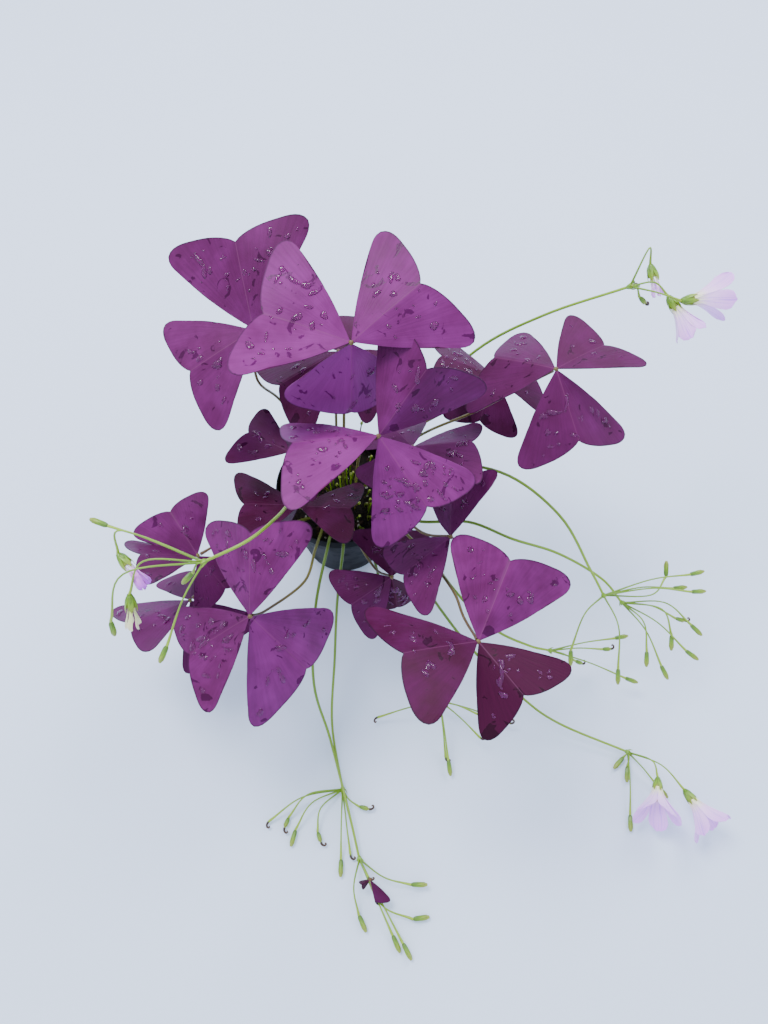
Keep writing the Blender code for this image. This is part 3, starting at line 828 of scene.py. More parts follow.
@dataclass(frozen=True)
class Leaflet:
    """One heart-notched leaflet: where its midrib points, how it is turned and folded, and its size."""

    heading: float
    pitch: float
    roll: float
    fold: float
    size: float
    drops: int = 0
    # How deep its purple is: partly its own colour, partly painted light and shade.
    tone: float = 0.4
    base_half_width: float = 0.8
    base_reach: float = 1.0
    side_bulge: float = 0.03
    sag: float = 0.10
    crease: float = 0.012
    wave: float = 0.016
    thickness: float = 0.4
    rows: int = 26
    columns: int = 47

    def axes(self) -> tuple[np.ndarray, np.ndarray, np.ndarray]:
        """Finds the leaflet's own directions.

        Returns:
            The directions along the midrib, sideways and upward.
        """
        heading, pitch, roll = (math.radians(angle) for angle in (self.heading, self.pitch, self.roll))
        midrib = np.array((math.cos(pitch) * math.cos(heading), math.cos(pitch) * math.sin(heading),
                           math.sin(pitch)))
        level = np.array((-math.sin(heading), math.cos(heading), 0.0))
        upright = np.cross(midrib, level)
        side = level * math.cos(roll) + upright * math.sin(roll)
        upward = upright * math.cos(roll) - level * math.sin(roll)
        return midrib, side, upward

    def surface(self, foot: Point, along: np.ndarray, across: np.ndarray) -> np.ndarray:
        """Points of the middle surface.

        Args:
            foot: the leaf's centre.
            along: shares from the base, 0, to the far edge, 1.
            across: shares from one side, -1, over the midrib, 0, to the other, 1.

        Returns:
            The points, with x, y and z last.
        """
        midrib, side, upward = self.axes()
        fold = math.radians(self.fold)
        shares, reaches, spreads = LOBE
        reach = np.interp(np.abs(across), shares, reaches)
        spread = np.sign(across) * np.interp(np.abs(across), shares, spreads)
        spread = spread * along + self.base_half_width / self.size * across * (1 - along)
        spread = spread + self.side_bulge * across * np.sin(math.pi * along)
        reach = reach * along + self.base_reach / self.size * (1 - along)
        from_crease = np.sqrt(spread ** 2 + self.crease ** 2) - self.crease
        sink = from_crease * math.sin(fold) + self.sag * reach ** 2
        phase = self.heading + self.size
        sink = sink + self.wave * reach * np.sin(7.0 * spread + phase) * np.sin(4.0 * reach + phase)
        sink = sink + self.wave * 0.9 * np.abs(across) ** 3 * along ** 3 * np.sin(11.0 * reach + 2 * phase)
        ways = (midrib * reach[..., None] + side * (spread * math.cos(fold))[..., None]
                - upward * sink[..., None])
        return np.asarray(foot, float) + self.size * ways

    def add_to(self, draft: Draft, foot: Point, top: int, back: int) -> None:
        """Adds the leaflet as a thin sheet.

        Args:
            draft: what it is added to.
            foot: the leaf's centre.
            top: the number of the upper skin's material.
            back: the number of the lower skin's material.
        """
        along, across = net(self.rows, self.columns)
        points = self.surface(foot, along, across)
        sheet(draft, points, net_marks(along, across, self.tone), self.thickness, top, back)

    def add_drop(self, draft: Draft, foot: Point, rng: random.Random) -> None:
        """Adds one water drop that clings to the upper side, round or drawn out.

        Args:
            draft: what it is added to.
            foot: the leaf's centre.
            rng: the seeded draw for its place and shape.
        """
        along = 0.3 + 0.6 * rng.random() ** 0.8
        radius = 0.65 + 1.7 * rng.random() ** 2
        stretch = 1.0 + 1.3 * rng.random() ** 2
        room = 0.68 - (radius * stretch + 0.5) / (self.size * along)
        across = (rng.random() * 2 - 1) * max(room, 0.0)
        turn = rng.random() * math.tau
        phases = (rng.random() * math.tau, rng.random() * math.tau)
        step = 0.01
        corner = np.array(((along, across), (along + step, across), (along, across + step)))
        here, ahead, beside = self.surface(foot, corner[:, 0], corner[:, 1])
        run, fan = (ahead - here) / step, (beside - here) / step
        normal = unit(np.cross(run, fan))
        east = unit(run)
        north = np.cross(normal, east)
        sides = DROP_SIDES
        angles = np.arange(sides) * math.tau / sides
        outline = radius * (1 + 0.16 * np.sin(2 * angles + phases[0])
                            + 0.12 * np.sin(3 * angles + phases[1]))
        rises = np.array(DROP_RISES) * radius * DROP_DOME + self.thickness / 2
        flat_x = np.outer(DROP_RINGS, outline * np.cos(angles) * stretch)
        flat_y = np.outer(DROP_RINGS, outline * np.sin(angles) / math.sqrt(stretch))
        local_x = flat_x * math.cos(turn) - flat_y * math.sin(turn)
        local_y = flat_x * math.sin(turn) + flat_y * math.cos(turn)
        basis = np.array(((run @ east, fan @ east), (run @ north, fan @ north)))
        shift = np.linalg.solve(basis, np.stack((local_x.ravel(), local_y.ravel())))
        at_along = np.clip(along + shift[0], DROP_NEAREST, DROP_FARTHEST)
        at_across = np.clip(across + shift[1], -DROP_WIDEST, DROP_WIDEST)
        spots = self.surface(foot, at_along, at_across) + normal * np.repeat(rises, sides)[:, None]
        faces = strip_faces(len(DROP_RINGS), sides, closed=True)[sides:]
        faces = [tuple(index - sides + 1 for index in face) for face in faces]
        faces += [(0, 1 + side, 1 + (side + 1) % sides) for side in range(sides)]
        last = 1 + (len(DROP_RINGS) - 2) * sides
        faces.append(tuple(reversed(range(last, last + sides))))
        points = np.concatenate((spots[:1], spots[sides:]))
        draft.add(points, np.full((len(points), 3), 0.5), faces, 0)


def add_knot(draft: Draft, centre: Point, down: Sequence[float] | np.ndarray, radius: float,
             finish: int) -> None:
    """Adds the small ribbed knot where leaflets meet.

    Args:
        draft: what it is added to.
        centre: the leaf's centre.
        down: the direction of the stalk from there.
        radius: the knot's radius.
        finish: the number of its material.
    """
    shares = np.linspace(-1, 1, 9)
    route = np.array(centre) - np.outer(shares, down) * radius
    radii = radius * np.sqrt(np.maximum(1.0 - shares ** 2, 0.02))
    sweep(draft, route, radii, finish, ribs=(3, 0.12))


@dataclass(frozen=True)
class Leaf:
    """A leaf of three leaflets on one stalk, which stands in the soil at root."""

    name: str
    centre: Point
    root: tuple[float, float]
    leaflets: tuple[Leaflet, ...]
    via: tuple[Point, ...] = ()
    stalk_radius: float = 0.9
    stalk_foot: float = 1.15
    stalk_taper: float = 0.3
    knot_radius: float = 1.35

    def route(self) -> np.ndarray:
        """Finds the stalk's middle line.

        Returns:
            Its points, from inside the soil to just under the leaf.
        """
        foot = np.array((*self.root, ROOT_TOP))
        centre = np.array(self.centre, float)
        if self.via:
            middle = [np.array(point, float) for point in self.via]
        else:
            bend = foot + (centre - foot) * STALK_LEAN
            bend[2] = foot[2] + (centre[2] - foot[2]) * STALK_RISE
            middle = [bend]
        seat = centre + unit(middle[-1] - centre) * (HUB_RADIUS + GAP)
        above = smooth_route([foot, *middle, seat], 8)
        return np.concatenate((np.array(((*self.root, ROOT_DEPTH),)), above))

    def build_stalk(self, finishes: Finishes) -> None:
        """Builds the stalk, which thins upward and swells a little under the leaf.

        Args:
            finishes: the plant's materials.
        """
        draft = Draft()
        route = self.route()
        shares = np.linspace(0, 1, len(route))
        swelling = 0.35 * np.clip((shares - 0.93) / 0.07, 0, 1) ** 2
        radii = self.stalk_radius * (self.stalk_foot - self.stalk_taper * shares + swelling)
        sweep(draft, route, radii, 0)
        draft.piece(f"{self.name}_petiole", [finishes.stalk], [f"{self.name}_stalk"])

    def build_blades(self, finishes: Finishes) -> None:
        """Builds the three leaflets and the small knot where they meet.

        Args:
            finishes: the plant's materials.
        """
        draft = Draft()
        for leaflet in self.leaflets:
            leaflet.add_to(draft, self.centre, 0, 1)
        down = unit(self.route()[-2] - np.array(self.centre))
        add_knot(draft, self.centre, down, self.knot_radius, 2)
        materials = [finishes.leaf_top, finishes.leaf_back, finishes.stalk]
        draft.piece(f"{self.name}_leaflets", materials, [f"{self.name}_blades"])

    def build_drops(self, finishes: Finishes) -> None:
        """Builds the water drops on the leaf.

        Args:
            finishes: the plant's materials.
        """
        draft = Draft()
        rng = random.Random(self.name)
        for leaflet in self.leaflets:
            for _ in range(leaflet.drops):
                leaflet.add_drop(draft, self.centre, rng)
        if draft.count:
            draft.piece(f"{self.name}_drops", [finishes.water])


@dataclass(frozen=True)
class Head:
    """What a pedicel ends in: a ribbed body, with the sepals that clasp it or the petals left on it.

    It reaches back from the pedicel's tip by its length. Withered petals hang at wisp_from_tip,
    counted the same way.
    """

    length: float
    body_length: float
    body_radius: float
    shape: tuple[tuple[float, float], ...]
    sepal_length: float = 0.0
    sepal_radius: float = 0.0
    wisp_from_tip: float | None = None


# Each shape gives places along the body, with the share of the radius there.
HEADS = {
    End.BARE: Head(0.0, 1.6, 0.75, ((0.0, 0.6), (0.4, 1.0), (0.8, 0.8), (1.0, 0.1)), wisp_from_tip=-0.8),
    End.POD: Head(8.0, 8.0, 1.35, ((0.0, 0.45), (0.25, 0.95), (0.6, 1.0), (0.85, 0.55), (1.0, 0.15)),
                  6.0, 1.45, wisp_from_tip=1.0),
    End.BUD: Head(11.0, 11.0, 1.45, ((0.0, 0.45), (0.1, 0.85), (0.3, 1.0), (0.65, 0.98), (0.9, 0.75),
                                     (1.0, 0.45)), 8.8, 1.6),
    End.CALYX: Head(10.0, 8.0, 2.8, ((0.0, 0.3), (0.2, 0.75), (0.55, 1.0), (1.0, 0.9)), 10.0, 3.5),
}


@dataclass(frozen=True)
class Pedicel:
    """A thin flower stalk from its scape's end to tip, with what it ends in."""

    end: End
    tip: Point
    bow: float = 4.0
    aim: Point | None = None
    radius: float = 0.6
    hook: float = 0.22

    def way(self, start: Point) -> np.ndarray:
        """The direction that the tip faces."""
        return unit(self.aim) if self.aim else unit(np.array(self.tip) - np.array(start))

    def add_to(self, draft: Draft, start: Point, stem: int, bud: int, sepal: int, wisp: int) -> None:
        """Adds the pedicel with its end.

        Args:
            draft: what it is added to.
            start: the scape's end.
            stem: the number of the pedicel's material.
            bud: the number of the bud's material.
            sepal: the number of the sepals' material.
            wisp: the number of the withered petals' material.
        """
        head = HEADS[self.end]
        way = self.way(start)
        neck = np.array(self.tip) - way * head.length
        direct = neck - np.array(start)
        swing = (direct - way * length_of(direct)) * self.hook
        middle = (np.array(start) + neck) / 2 + np.array((0.0, 0.0, self.bow)) + swing
        route = smooth_route((start, middle, neck), 8)
        shares = np.linspace(0, 1, len(route))
        radii = self.radius * (1.15 - 0.35 * np.sin(shares * math.pi) + 0.35 * shares ** 6)
        sweep(draft, route, radii, stem, sides=8)
        self.add_body(draft, neck, way, head.body_length, head.body_radius, head.shape, bud)
        if head.wisp_from_tip is not None:
            self.add_wisp(draft, np.array(self.tip) - way * head.wisp_from_tip, way, wisp)
        if head.sepal_length:
            self.add_sepals(draft, neck, way, head.sepal_length, head.sepal_radius, sepal)

    @staticmethod
    def add_body(draft: Draft, neck: np.ndarray, way: np.ndarray, length: float, radius: float,
                 shape: Sequence[tuple[float, float]], finish: int) -> None:
        """Adds a ribbed body on the end of the pedicel.

        Args:
            draft: what it is added to.
            neck: where the pedicel ends.
            way: the direction that it faces.
            length: how long it is.
            radius: its widest radius.
            shape: places along it, each with a share of the radius.
            finish: the number of its material.
        """
        profile = smooth_route(shape, 3)
        route = neck + np.outer(profile[:, 0] * (length - 0.5), way)
        sweep(draft, route, profile[:, 1] * radius, finish, sides=20, ribs=(5, 0.1))

    @staticmethod
    def add_wisp(draft: Draft, start: np.ndarray, way: np.ndarray, finish: int) -> None:
        """Adds the dry curl that is left of a flower.

        Args:
            draft: what it is added to.
            start: where it hangs from.
            way: the direction that the flower faced.
            finish: the number of the material.
        """
        first, second = cross_ways(way)
        level = first if abs(first[2]) < abs(second[2]) else second
        curl = (start, start + way * 1.6 + level * 0.5, start + way * 2.6 + level * 1.9,
                start + way * 1.9 + level * 3.0, start + way * 1.1 + level * 2.3)
        sweep(draft, smooth_route(curl, 4), np.linspace(0.8, 0.45, 17), finish, sides=6)

    @staticmethod
    def add_sepals(draft: Draft, neck: np.ndarray, way: np.ndarray, length: float, radius: float,
                   finish: int) -> None:
        """Adds the five pointed sepals that clasp a flower or a bud.

        Args:
            draft: what they are added to.
            neck: where the pedicel ends.
            way: the direction that it faces.
            length: how long a sepal is.
            radius: how far out its widest part lies.
            finish: the number of the material.
        """
        first, second = cross_ways(way)
        along, across = net(8, 5)
        out = radius * (0.35 + 0.65 * np.sin(np.minimum(along * 1.9, math.pi / 2)) - 0.1 * along ** 3)
        spread = (0.62 * (1 - along ** 2.2) + 0.03) * across
        for index in range(5):
            angle = math.tau * index / 5 + spread
            points = (neck + first * (out * np.cos(angle))[..., None]
                      + second * (out * np.sin(angle))[..., None] + way * (along * length)[..., None])
            sheet(draft, points[:, ::-1], net_marks(along, across, index / 5), 0.18, finish, finish)


@dataclass(frozen=True)
class Scape:
    """A flower stem: its route from the soil to its end, and the pedicels that spread from there."""

    name: str
    root: tuple[float, float]
    route: tuple[Point, ...]
    pedicels: tuple[Pedicel, ...]
    radius: float = 1.1
    taper: float = 0.28
    bract_length: float = 4.2
    bracts: int = 6

    def middle_line(self) -> np.ndarray:
        """The stem's middle line, from inside the soil to the knot of bracts."""
        above = smooth_route([(*self.root, ROOT_TOP), *self.route], 8)
        return np.concatenate((np.array(((*self.root, ROOT_DEPTH),)), above))

    def build(self, finishes: Finishes) -> None:
        """Builds the stem, its bracts and its pedicels as one piece.

        Args:
            finishes: the plant's materials.
        """
        draft = Draft()
        route = self.middle_line()
        shares = np.linspace(0, 1, len(route))
        sweep(draft, route, self.radius * (1.0 - self.taper * shares), 0)
        self.add_bracts(draft, route)
        for pedicel in self.pedicels:
            pedicel.add_to(draft, self.route[-1], 1, 2, 3, 4)
        materials = [finishes.stem, finishes.pedicel, finishes.bud, finishes.sepal, finishes.wisp]
        draft.piece(f"{self.name}_spray", materials, [self.name])

    def add_bracts(self, draft: Draft, route: np.ndarray) -> None:
        """Adds the knot of small pointed bracts at the end of the stem.

        Args:
            draft: what they are added to.
            route: the stem's middle line.
        """
        way = unit(route[-1] - route[-3])
        first, second = cross_ways(way)
        profile = smooth_route(((-1.0, 0.55), (-0.4, 0.95), (0.2, 1.0), (0.8, 0.6), (1.0, 0.15)), 3)
        knot = route[-1] + np.outer(profile[:, 0] * 2.0, way)
        sweep(draft, knot, profile[:, 1] * 1.45, 3, ribs=(5, 0.12))
        for index in range(self.bracts):
            angle = math.tau * index / self.bracts
            out = first * math.cos(angle) + second * math.sin(angle)
            reach = self.bract_length * (0.75 + 0.25 * math.cos(3 * angle))
            tip = route[-1] + way * reach * 0.75 + out * reach * 0.6
            start = route[-1] - way * 0.8 + out * 0.5
            bend = (start + tip) / 2 + out * 0.6
            sweep(draft, smooth_route((start, bend, tip), 3), np.linspace(0.62, 0.12, 7), 3, sides=6)


@dataclass(frozen=True)
class Bloom:
    """A corolla on a calyx: the scape and pedicel that carry it, its length, its mouth and its stage."""

    name: str
    scape: str
    pedicel: int
    length: float
    mouth: float
    stage: Stage
    throat: float = 1.8
    petals: int = 5
    thickness: float = 0.25

    def build(self, scapes: Sequence[Scape], finishes: Finishes) -> None:
        """Builds the corolla.

        Args:
            scapes: every scape of the plant.
            finishes: the plant's materials.
        """
        scape = next(item for item in scapes if item.name == self.scape)
        pedicel = scape.pedicels[self.pedicel]
        way = pedicel.way(scape.route[-1])
        start = np.array(pedicel.tip) - way * 2.5
        draft = Draft()
        rng = random.Random(self.name)
        for index in range(self.petals):
            self.add_petal(draft, start, way, index, rng)
        if self.stage is Stage.OPEN:
            self.add_stamens(draft, start, way)
        petal = {Stage.OPEN: finishes.petal, Stage.CLOSED: finishes.petal,
                 Stage.ROLLED: finishes.petal_rolled, Stage.SPENT: finishes.petal_spent}[self.stage]
        draft.piece(f"{self.name}_petals", [petal, finishes.anther], [self.name])

    def add_petal(self, draft: Draft, start: np.ndarray, way: np.ndarray, index: int,
                  rng: random.Random) -> None:
        """Adds one petal: a narrow claw that widens to a rounded, slightly cupped blade.

        Args:
            draft: what it is added to.
            start: where the throat starts.
            way: the direction that the flower faces.
            index: the petal's number.
            rng: the seeded draw for its own shape.
        """
        first, second = cross_ways(way)
        opening = self.stage is Stage.OPEN
        mouth = self.mouth * (rng.uniform(0.85, 1.08) if opening else rng.uniform(0.7, 1.0))
        length = (self.length + 2.5) * rng.uniform(0.9, 0.97)
        widest = self.length * (0.29 if opening else 0.13)
        angle = math.tau * (index + rng.uniform(-0.08, 0.08)) / self.petals
        out = first * math.cos(angle) + second * math.sin(angle)
        around = np.cross(way, out)
        along, across = net(20, 11)
        widths = np.interp(along, (0.0, 0.25, 0.5, 0.7, 0.85, 0.95, 1.0),
                           np.array((0.4, 0.5, 0.74, 0.93, 1.0, 0.82, 0.4))) * widest
        widths = np.maximum(widths, 0.15)
        radius = self.throat + (mouth - self.throat) * along ** 1.4
        curl = 0.16 * mouth * np.clip(along - 0.6, 0, 1) ** 2 * 6.0 if opening else 0.0
        cup = 0.22 * widths * (1 - across ** 2) if opening else 0.35 * widths * (1 - across ** 2)
        ruffle = 0.05 * self.length * along ** 2 * np.sin(3.0 * across + rng.uniform(0, math.tau)) * across
        twist = (0.12 if opening else 1.4) * along * widths
        rise = along * length * (1 - 0.05 * across ** 2)
        points = (start + out * (radius + curl + cup)[..., None]
                  + around * (widths * across + twist)[..., None] + way * (rise + ruffle)[..., None])
        sheet(draft, points, net_marks(along, across, index / self.petals), self.thickness, 0, 0)

    def add_stamens(self, draft: Draft, start: np.ndarray, way: np.ndarray) -> None:
        """Adds the pale stamens in the throat.

        Args:
            draft: what they are added to.
            start: where the throat starts.
            way: the direction that the flower faces.
        """
        first, second = cross_ways(way)
        for index in range(self.petals):
            angle = math.tau * (index + 0.5) / self.petals
            out = first * math.cos(angle) + second * math.sin(angle)
            end = start + way * (self.length * 0.42) + out * 0.9
            sweep(draft, smooth_route((start + way, end), 4), (0.15, 0.15, 0.16, 0.34, 0.3), 1, sides=6)


@dataclass(frozen=True)
class YoungLeaf:
    """The small leaf, still folded, among the pedicels of the long front scape."""

    foot: Point
    leaflets: tuple[Leaflet, ...]
    knot_radius: float = 1.3

    def build(self, finishes: Finishes) -> None:
        """Builds its leaflets and its knot.

        Args:
            finishes: the plant's materials.
        """
        draft = Draft()
        for leaflet in self.leaflets:
            leaflet.add_to(draft, self.foot, 0, 1)
        add_knot(draft, self.foot, (0.0, 0.0, -1.0), self.knot_radius, 2)
        materials = [finishes.leaf_top, finishes.leaf_back, finishes.stalk]
        draft.piece("young_leaf_leaflets", materials, ["young_leaf"])


@dataclass(frozen=True)
class Pot:
    """The thin nursery pot with its stepped lip and drain holes."""

    height: float = 80.0
    rim_radius: float = 45.0
    base_radius: float = 31.0
    lip_height: float = 9.0
    lip_step: float = 1.8
    wall: float = 1.5
    floor: float = 2.0
    sides: int = 96
    holes: int = 4
    hole_radius: float = 3.5
    hole_circle: float = 20.0

    def profile(self) -> list[tuple[float, float]]:
        """Draws the section of the pot.

        Returns:
            Radius and height of its points, from the inside of the floor over the rim to the underside.
        """
        lip_foot = self.height - self.lip_height
        step = self.rim_radius - self.lip_step
        inner = self.rim_radius - self.wall
        roll = self.wall / 2
        rim = [
            (self.rim_radius - roll + roll * math.cos(angle), self.height - roll + roll * math.sin(angle))
            for angle in np.linspace(math.pi, 0, 9)]
        return [
            (0.0, self.floor), (self.base_radius - self.wall - 1.2, self.floor),
            (self.base_radius - self.wall, self.floor + 1.2), (step - self.wall, lip_foot - self.wall),
            (inner - 0.3, lip_foot + self.wall), (inner, lip_foot + self.wall + 0.6), *rim,
            (self.rim_radius, lip_foot + 0.5), (self.rim_radius - 0.5, lip_foot), (step + 0.3, lip_foot),
            (step, lip_foot - 0.4), (self.base_radius + 0.1, 1.6), (self.base_radius - 0.4, 0.5),
            (self.base_radius - 1.4, 0.0), (self.base_radius - 3.4, 0.0), (self.base_radius - 4.0, 0.6),
            (0.0, 0.6),
        ]

    def build(self, finishes: Finishes) -> None:
        """Builds the pot: a turned shell whose drain holes are cut through.

        Args:
            finishes: the plant's materials.
        """
        shell = turned_object("pot_shell", self.profile(), self.sides)
        for index in range(self.holes):
            angle = math.tau * (index + 0.5) / self.holes
            place = (self.hole_circle * math.cos(angle), self.hole_circle * math.sin(angle), self.floor / 2)
            cut_hole(shell, place, self.hole_radius, self.floor * 3)
        shell.data.materials.append(finishes.pot)
        shell.data.shade_smooth()
        shell.data.set_sharp_from_angle(angle=math.radians(35))
        settle(shell, ["pot"])


def turned_object(name: str, profile: Sequence[tuple[float, float]], sides: int,
                  lift: Callable[[float, float], float] | None = None) -> bpy.types.Object:
    """Turns a profile round the upright axis into a closed mesh.

    Args:
        name: the object's name.
        profile: radius and height of each point, both ends on the axis.
        sides: how many sides it gets.
        lift: gives how far a point at x and y is raised if it lies above the roots, or nothing.

    Returns:
        The new object, linked to the scene.
    """
    mesh = bpy.data.meshes.new(name)
    points = [(0.0, 0.0, profile[0][1])]
    for radius, height in profile[1:-1]:
        for side in range(sides):
            angle = math.tau * side / sides
            points.append((radius * math.cos(angle), radius * math.sin(angle), height))
    points.append((0.0, 0.0, profile[-1][1]))
    if lift:
        points = [(x, y, z + lift(x, y)) if z > ROOT_DEPTH else (x, y, z) for x, y, z in points]
    rings = len(profile) - 2
    faces = [tuple(index + 1 for index in face) for face in strip_faces(rings, sides, closed=True)]
    faces += [(0, 1 + side, 1 + (side + 1) % sides) for side in range(sides)]
    last = len(points) - 1
    faces += [(last, last - sides + (side + 1) % sides, last - sides + side) for side in range(sides)]
    mesh.from_pydata([Vector(point) * MM for point in points], [], faces)
    return add_object(name, mesh)


def cut_hole(item: bpy.types.Object, place: Point, radius: float, depth: float) -> None:
    """Cuts a round hole straight down through an object.

    Args:
        item: the object.
        place: the middle of the hole, in millimetres.
        radius: the hole's radius.
        depth: how much of the axis it takes.
    """
    shape = bmesh.new()
    bmesh.ops.create_cone(shape, cap_ends=True, segments=32, radius1=radius * MM, radius2=radius * MM,
                          depth=depth * MM, matrix=Matrix.Translation(Vector(place) * MM))
    mesh = bpy.data.meshes.new("hole")
    shape.to_mesh(mesh)
    shape.free()
    cutter = add_object("hole", mesh)
    boolean = item.modifiers.new("Hole", "BOOLEAN")
    boolean.operation = "DIFFERENCE"
    boolean.object = cutter
    boolean.solver = "EXACT"
    bpy.context.view_layer.update()
    cut = bpy.data.meshes.new_from_object(item.evaluated_get(bpy.context.evaluated_depsgraph_get()))
    item.modifiers.remove(boolean)
    item.data = cut
    bpy.data.objects.remove(cutter)


@dataclass(frozen=True)
class Soil:
    """Moist peat in the pot, with bark and perlite on it."""

    edge_height: float = 69.0
    mound: float = 3.0
    floor: float = 2.3
    foot_radius: float = 28.9
    edge_radius: float = 40.0
    sides: int = 96
    rings: int = 26
    lump_mm: float = 7.0
    lump_rise: float = 1.6
    chips: int = 170
    grains: int = 70

    def height(self, radius: float) -> float:
        """The height of the smooth mound at a radius."""
        return self.edge_height + self.mound * math.cos(radius / self.edge_radius * math.pi / 2)

    def lift(self, x: float, y: float) -> float:
        """Finds how far the lumps raise the surface.

        Args:
            x: the place along X.
            y: the place along Y.

        Returns:
            The rise there.
        """
        spot = Vector((x, y, 0.0)) / self.lump_mm
        lumps = noise.noise(spot) + 0.5 * noise.noise(spot * 2.7) + 0.25 * noise.noise(spot * 6.1)
        return self.lump_rise * lumps

    def build(self, finishes: Finishes) -> None:
        """Builds the peat, the bark chips and the perlite grains.

        Args:
            finishes: the plant's materials.
        """
        radii = [self.edge_radius * share / self.rings for share in range(self.rings + 1)]
        top = [(radius, self.height(radius)) for radius in radii]
        profile = [*top, (self.foot_radius, self.floor), (0.0, self.floor)]
        peat = turned_object("soil_peat", profile, self.sides, self.lift)
        peat.data.materials.append(finishes.peat)
        peat.data.shade_smooth()
        settle(peat, ["soil"])
        self.scatter("soil_bark", self.chips, (0.8, 2.4), 0.35, finishes.bark)
        self.scatter("soil_perlite", self.grains, (0.5, 1.2), 0.85, finishes.perlite)

    def scatter(self, name: str, count: int, sizes: tuple[float, float], flatness: float,
                material: bpy.types.Material) -> None:
        """Scatters small broken bits over the soil as one piece.

        Args:
            name: the piece's name.
            count: how many bits.
            sizes: the smallest and the largest radius.
            flatness: a bit's height as a share of its width.
            material: its material.
        """
        rng = random.Random(name)
        bits = bmesh.new()
        for _ in range(count):
            angle, radius = rng.random() * math.tau, (self.edge_radius - 2.0) * math.sqrt(rng.random())
            x, y = radius * math.cos(angle), radius * math.sin(angle)
            size = rng.uniform(*sizes)
            spot = Vector((x, y, self.height(radius) + self.lift(x, y) + size * flatness * 0.4))
            turn = Matrix.Rotation(rng.random() * math.tau, 4, "Z")
            turn = turn @ Matrix.Rotation(rng.uniform(-0.5, 0.5), 4, "X")
            scale = Matrix.Diagonal((size * rng.uniform(0.6, 1.4), size * 0.7, size * flatness, 1.0))
            made = bmesh.ops.create_icosphere(bits, subdivisions=1, radius=MM,
                                              matrix=Matrix.Translation(spot * MM) @ turn @ scale)
            for vertex in made["verts"]:
                vertex.co += Vector(rng.uniform(-0.15, 0.15) for _ in range(3)) * size * flatness * MM
        mesh = bpy.data.meshes.new(name)
        bits.to_mesh(mesh)
        bits.free()
        mesh.materials.append(material)
        settle(add_object(name, mesh))


@dataclass(frozen=True)
class Shoots:
    """The crowd of short young stems in the mouth of the pot."""

    count: int = 46
    outer_radius: float = 31.0
    shortest: float = 14.0
    tallest: float = 44.0
    radius: float = 0.65
    lean: tuple[float, float] = (0.05, 0.3)
    tip_length: float = 3.0
    tip_radius: float = 1.0
    # Shoots nearer to the middle than this lean inward.
    inner_radius: float = 12.0

    def build(self, finishes: Finishes) -> None:
        """Builds all the shoots as one piece.

        Args:
            finishes: the plant's materials.
        """
        rng = random.Random("shoots")
        draft = Draft()
        for _ in range(self.count):
            angle, out = rng.random() * math.tau, self.outer_radius * math.sqrt(rng.random())
            foot = np.array((out * math.cos(angle), out * math.sin(angle), ROOT_DEPTH))
            tall = rng.uniform(self.shortest, self.tallest)
            lean = rng.uniform(*self.lean) * tall
            way = np.array((math.cos(angle), math.sin(angle), 0.0)) * lean
            tip = foot + way * (1 if out > self.inner_radius else -0.4) + np.array((0.0, 0.0, tall))
            bend = (foot + tip) / 2 - way * 0.25
            route = smooth_route((foot, bend, tip), 6)
            radii = self.radius * np.linspace(1.1, 0.75, len(route))
            sweep(draft, route, radii, rng.choice((0, 1)), rng.random(), sides=8)
            upward = unit(route[-1] - route[-2])
            Pedicel.add_body(draft, route[-1], upward, self.tip_length, self.tip_radius,
                             HEADS[End.BUD].shape, 2)
        draft.piece("young_shoots", [finishes.stem, finishes.stalk, finishes.bud])


@dataclass(frozen=True)
class Studio:
    """The pale floor, the soft light and the camera, which stands where the photograph was taken."""

    camera_place: Point = (0.0309, -0.2703, 0.5479)
    camera_tilt: float = 28.0
    lens: float = 27.04
    sensor: float = 36.0
    floor_size: float = 8.0
    sky: str = "#DFE8F7"
    sky_strength: float = 2.05
    look_at: Point = (0.0, -0.05, 0.12)
    softboxes: tuple[tuple[str, Point, float, float], ...] = (
        ("softbox_overhead_left", (-0.55, 0.35, 1.75), 0.7, 32.0),
        ("softbox_behind_right", (0.7, 0.9, 1.3), 0.6, 12.0))

    def build(self, finishes: Finishes) -> None:
        """Builds the floor, the world, the lights and the camera.

        Args:
            finishes: the plant's materials.
        """
        half = self.floor_size / 2
        board = bpy.data.meshes.new("floor_board")
        corners = [(-half, -half, 0.0), (half, -half, 0.0), (half, half, 0.0), (-half, half, 0.0)]
        board.from_pydata(corners, [], [(0, 1, 2, 3)])
        board.materials.append(finishes.floor)
        add_object("floor_board", board)
        world = bpy.data.worlds.new("studio_air")
        bpy.context.scene.world = world
        world.use_nodes = True
        background = world.node_tree.nodes["Background"]
        background.inputs["Color"].default_value = linear(self.sky)
        background.inputs["Strength"].default_value = self.sky_strength
        for softbox in self.softboxes:
            self.add_light(*softbox)
        camera = add_object("camera", bpy.data.cameras.new("camera"))
        camera.data.lens = self.lens
        camera.data.sensor_width = self.sensor
        camera.data.sensor_fit = "AUTO"
        camera.data.dof.use_dof = False
        camera.location = self.camera_place
        camera.rotation_euler = (math.radians(self.camera_tilt), 0.0, 0.0)
        bpy.context.scene.camera = camera

    def add_light(self, name: str, place: Point, size: float, power: float) -> None:
        """Hangs a square softbox that faces the plant.

        Args:
            name: the light's name.
            place: where it hangs, in metres.
            size: its side, in metres.
            power: its power, in watts.
        """
        data = bpy.data.lights.new(name, "AREA")
        data.size = size
        data.energy = power
        item = add_object(name, data)
        item.location = place
        way = Vector(self.look_at) - Vector(place)
        item.rotation_euler = way.to_track_quat("-Z", "Y").to_euler()
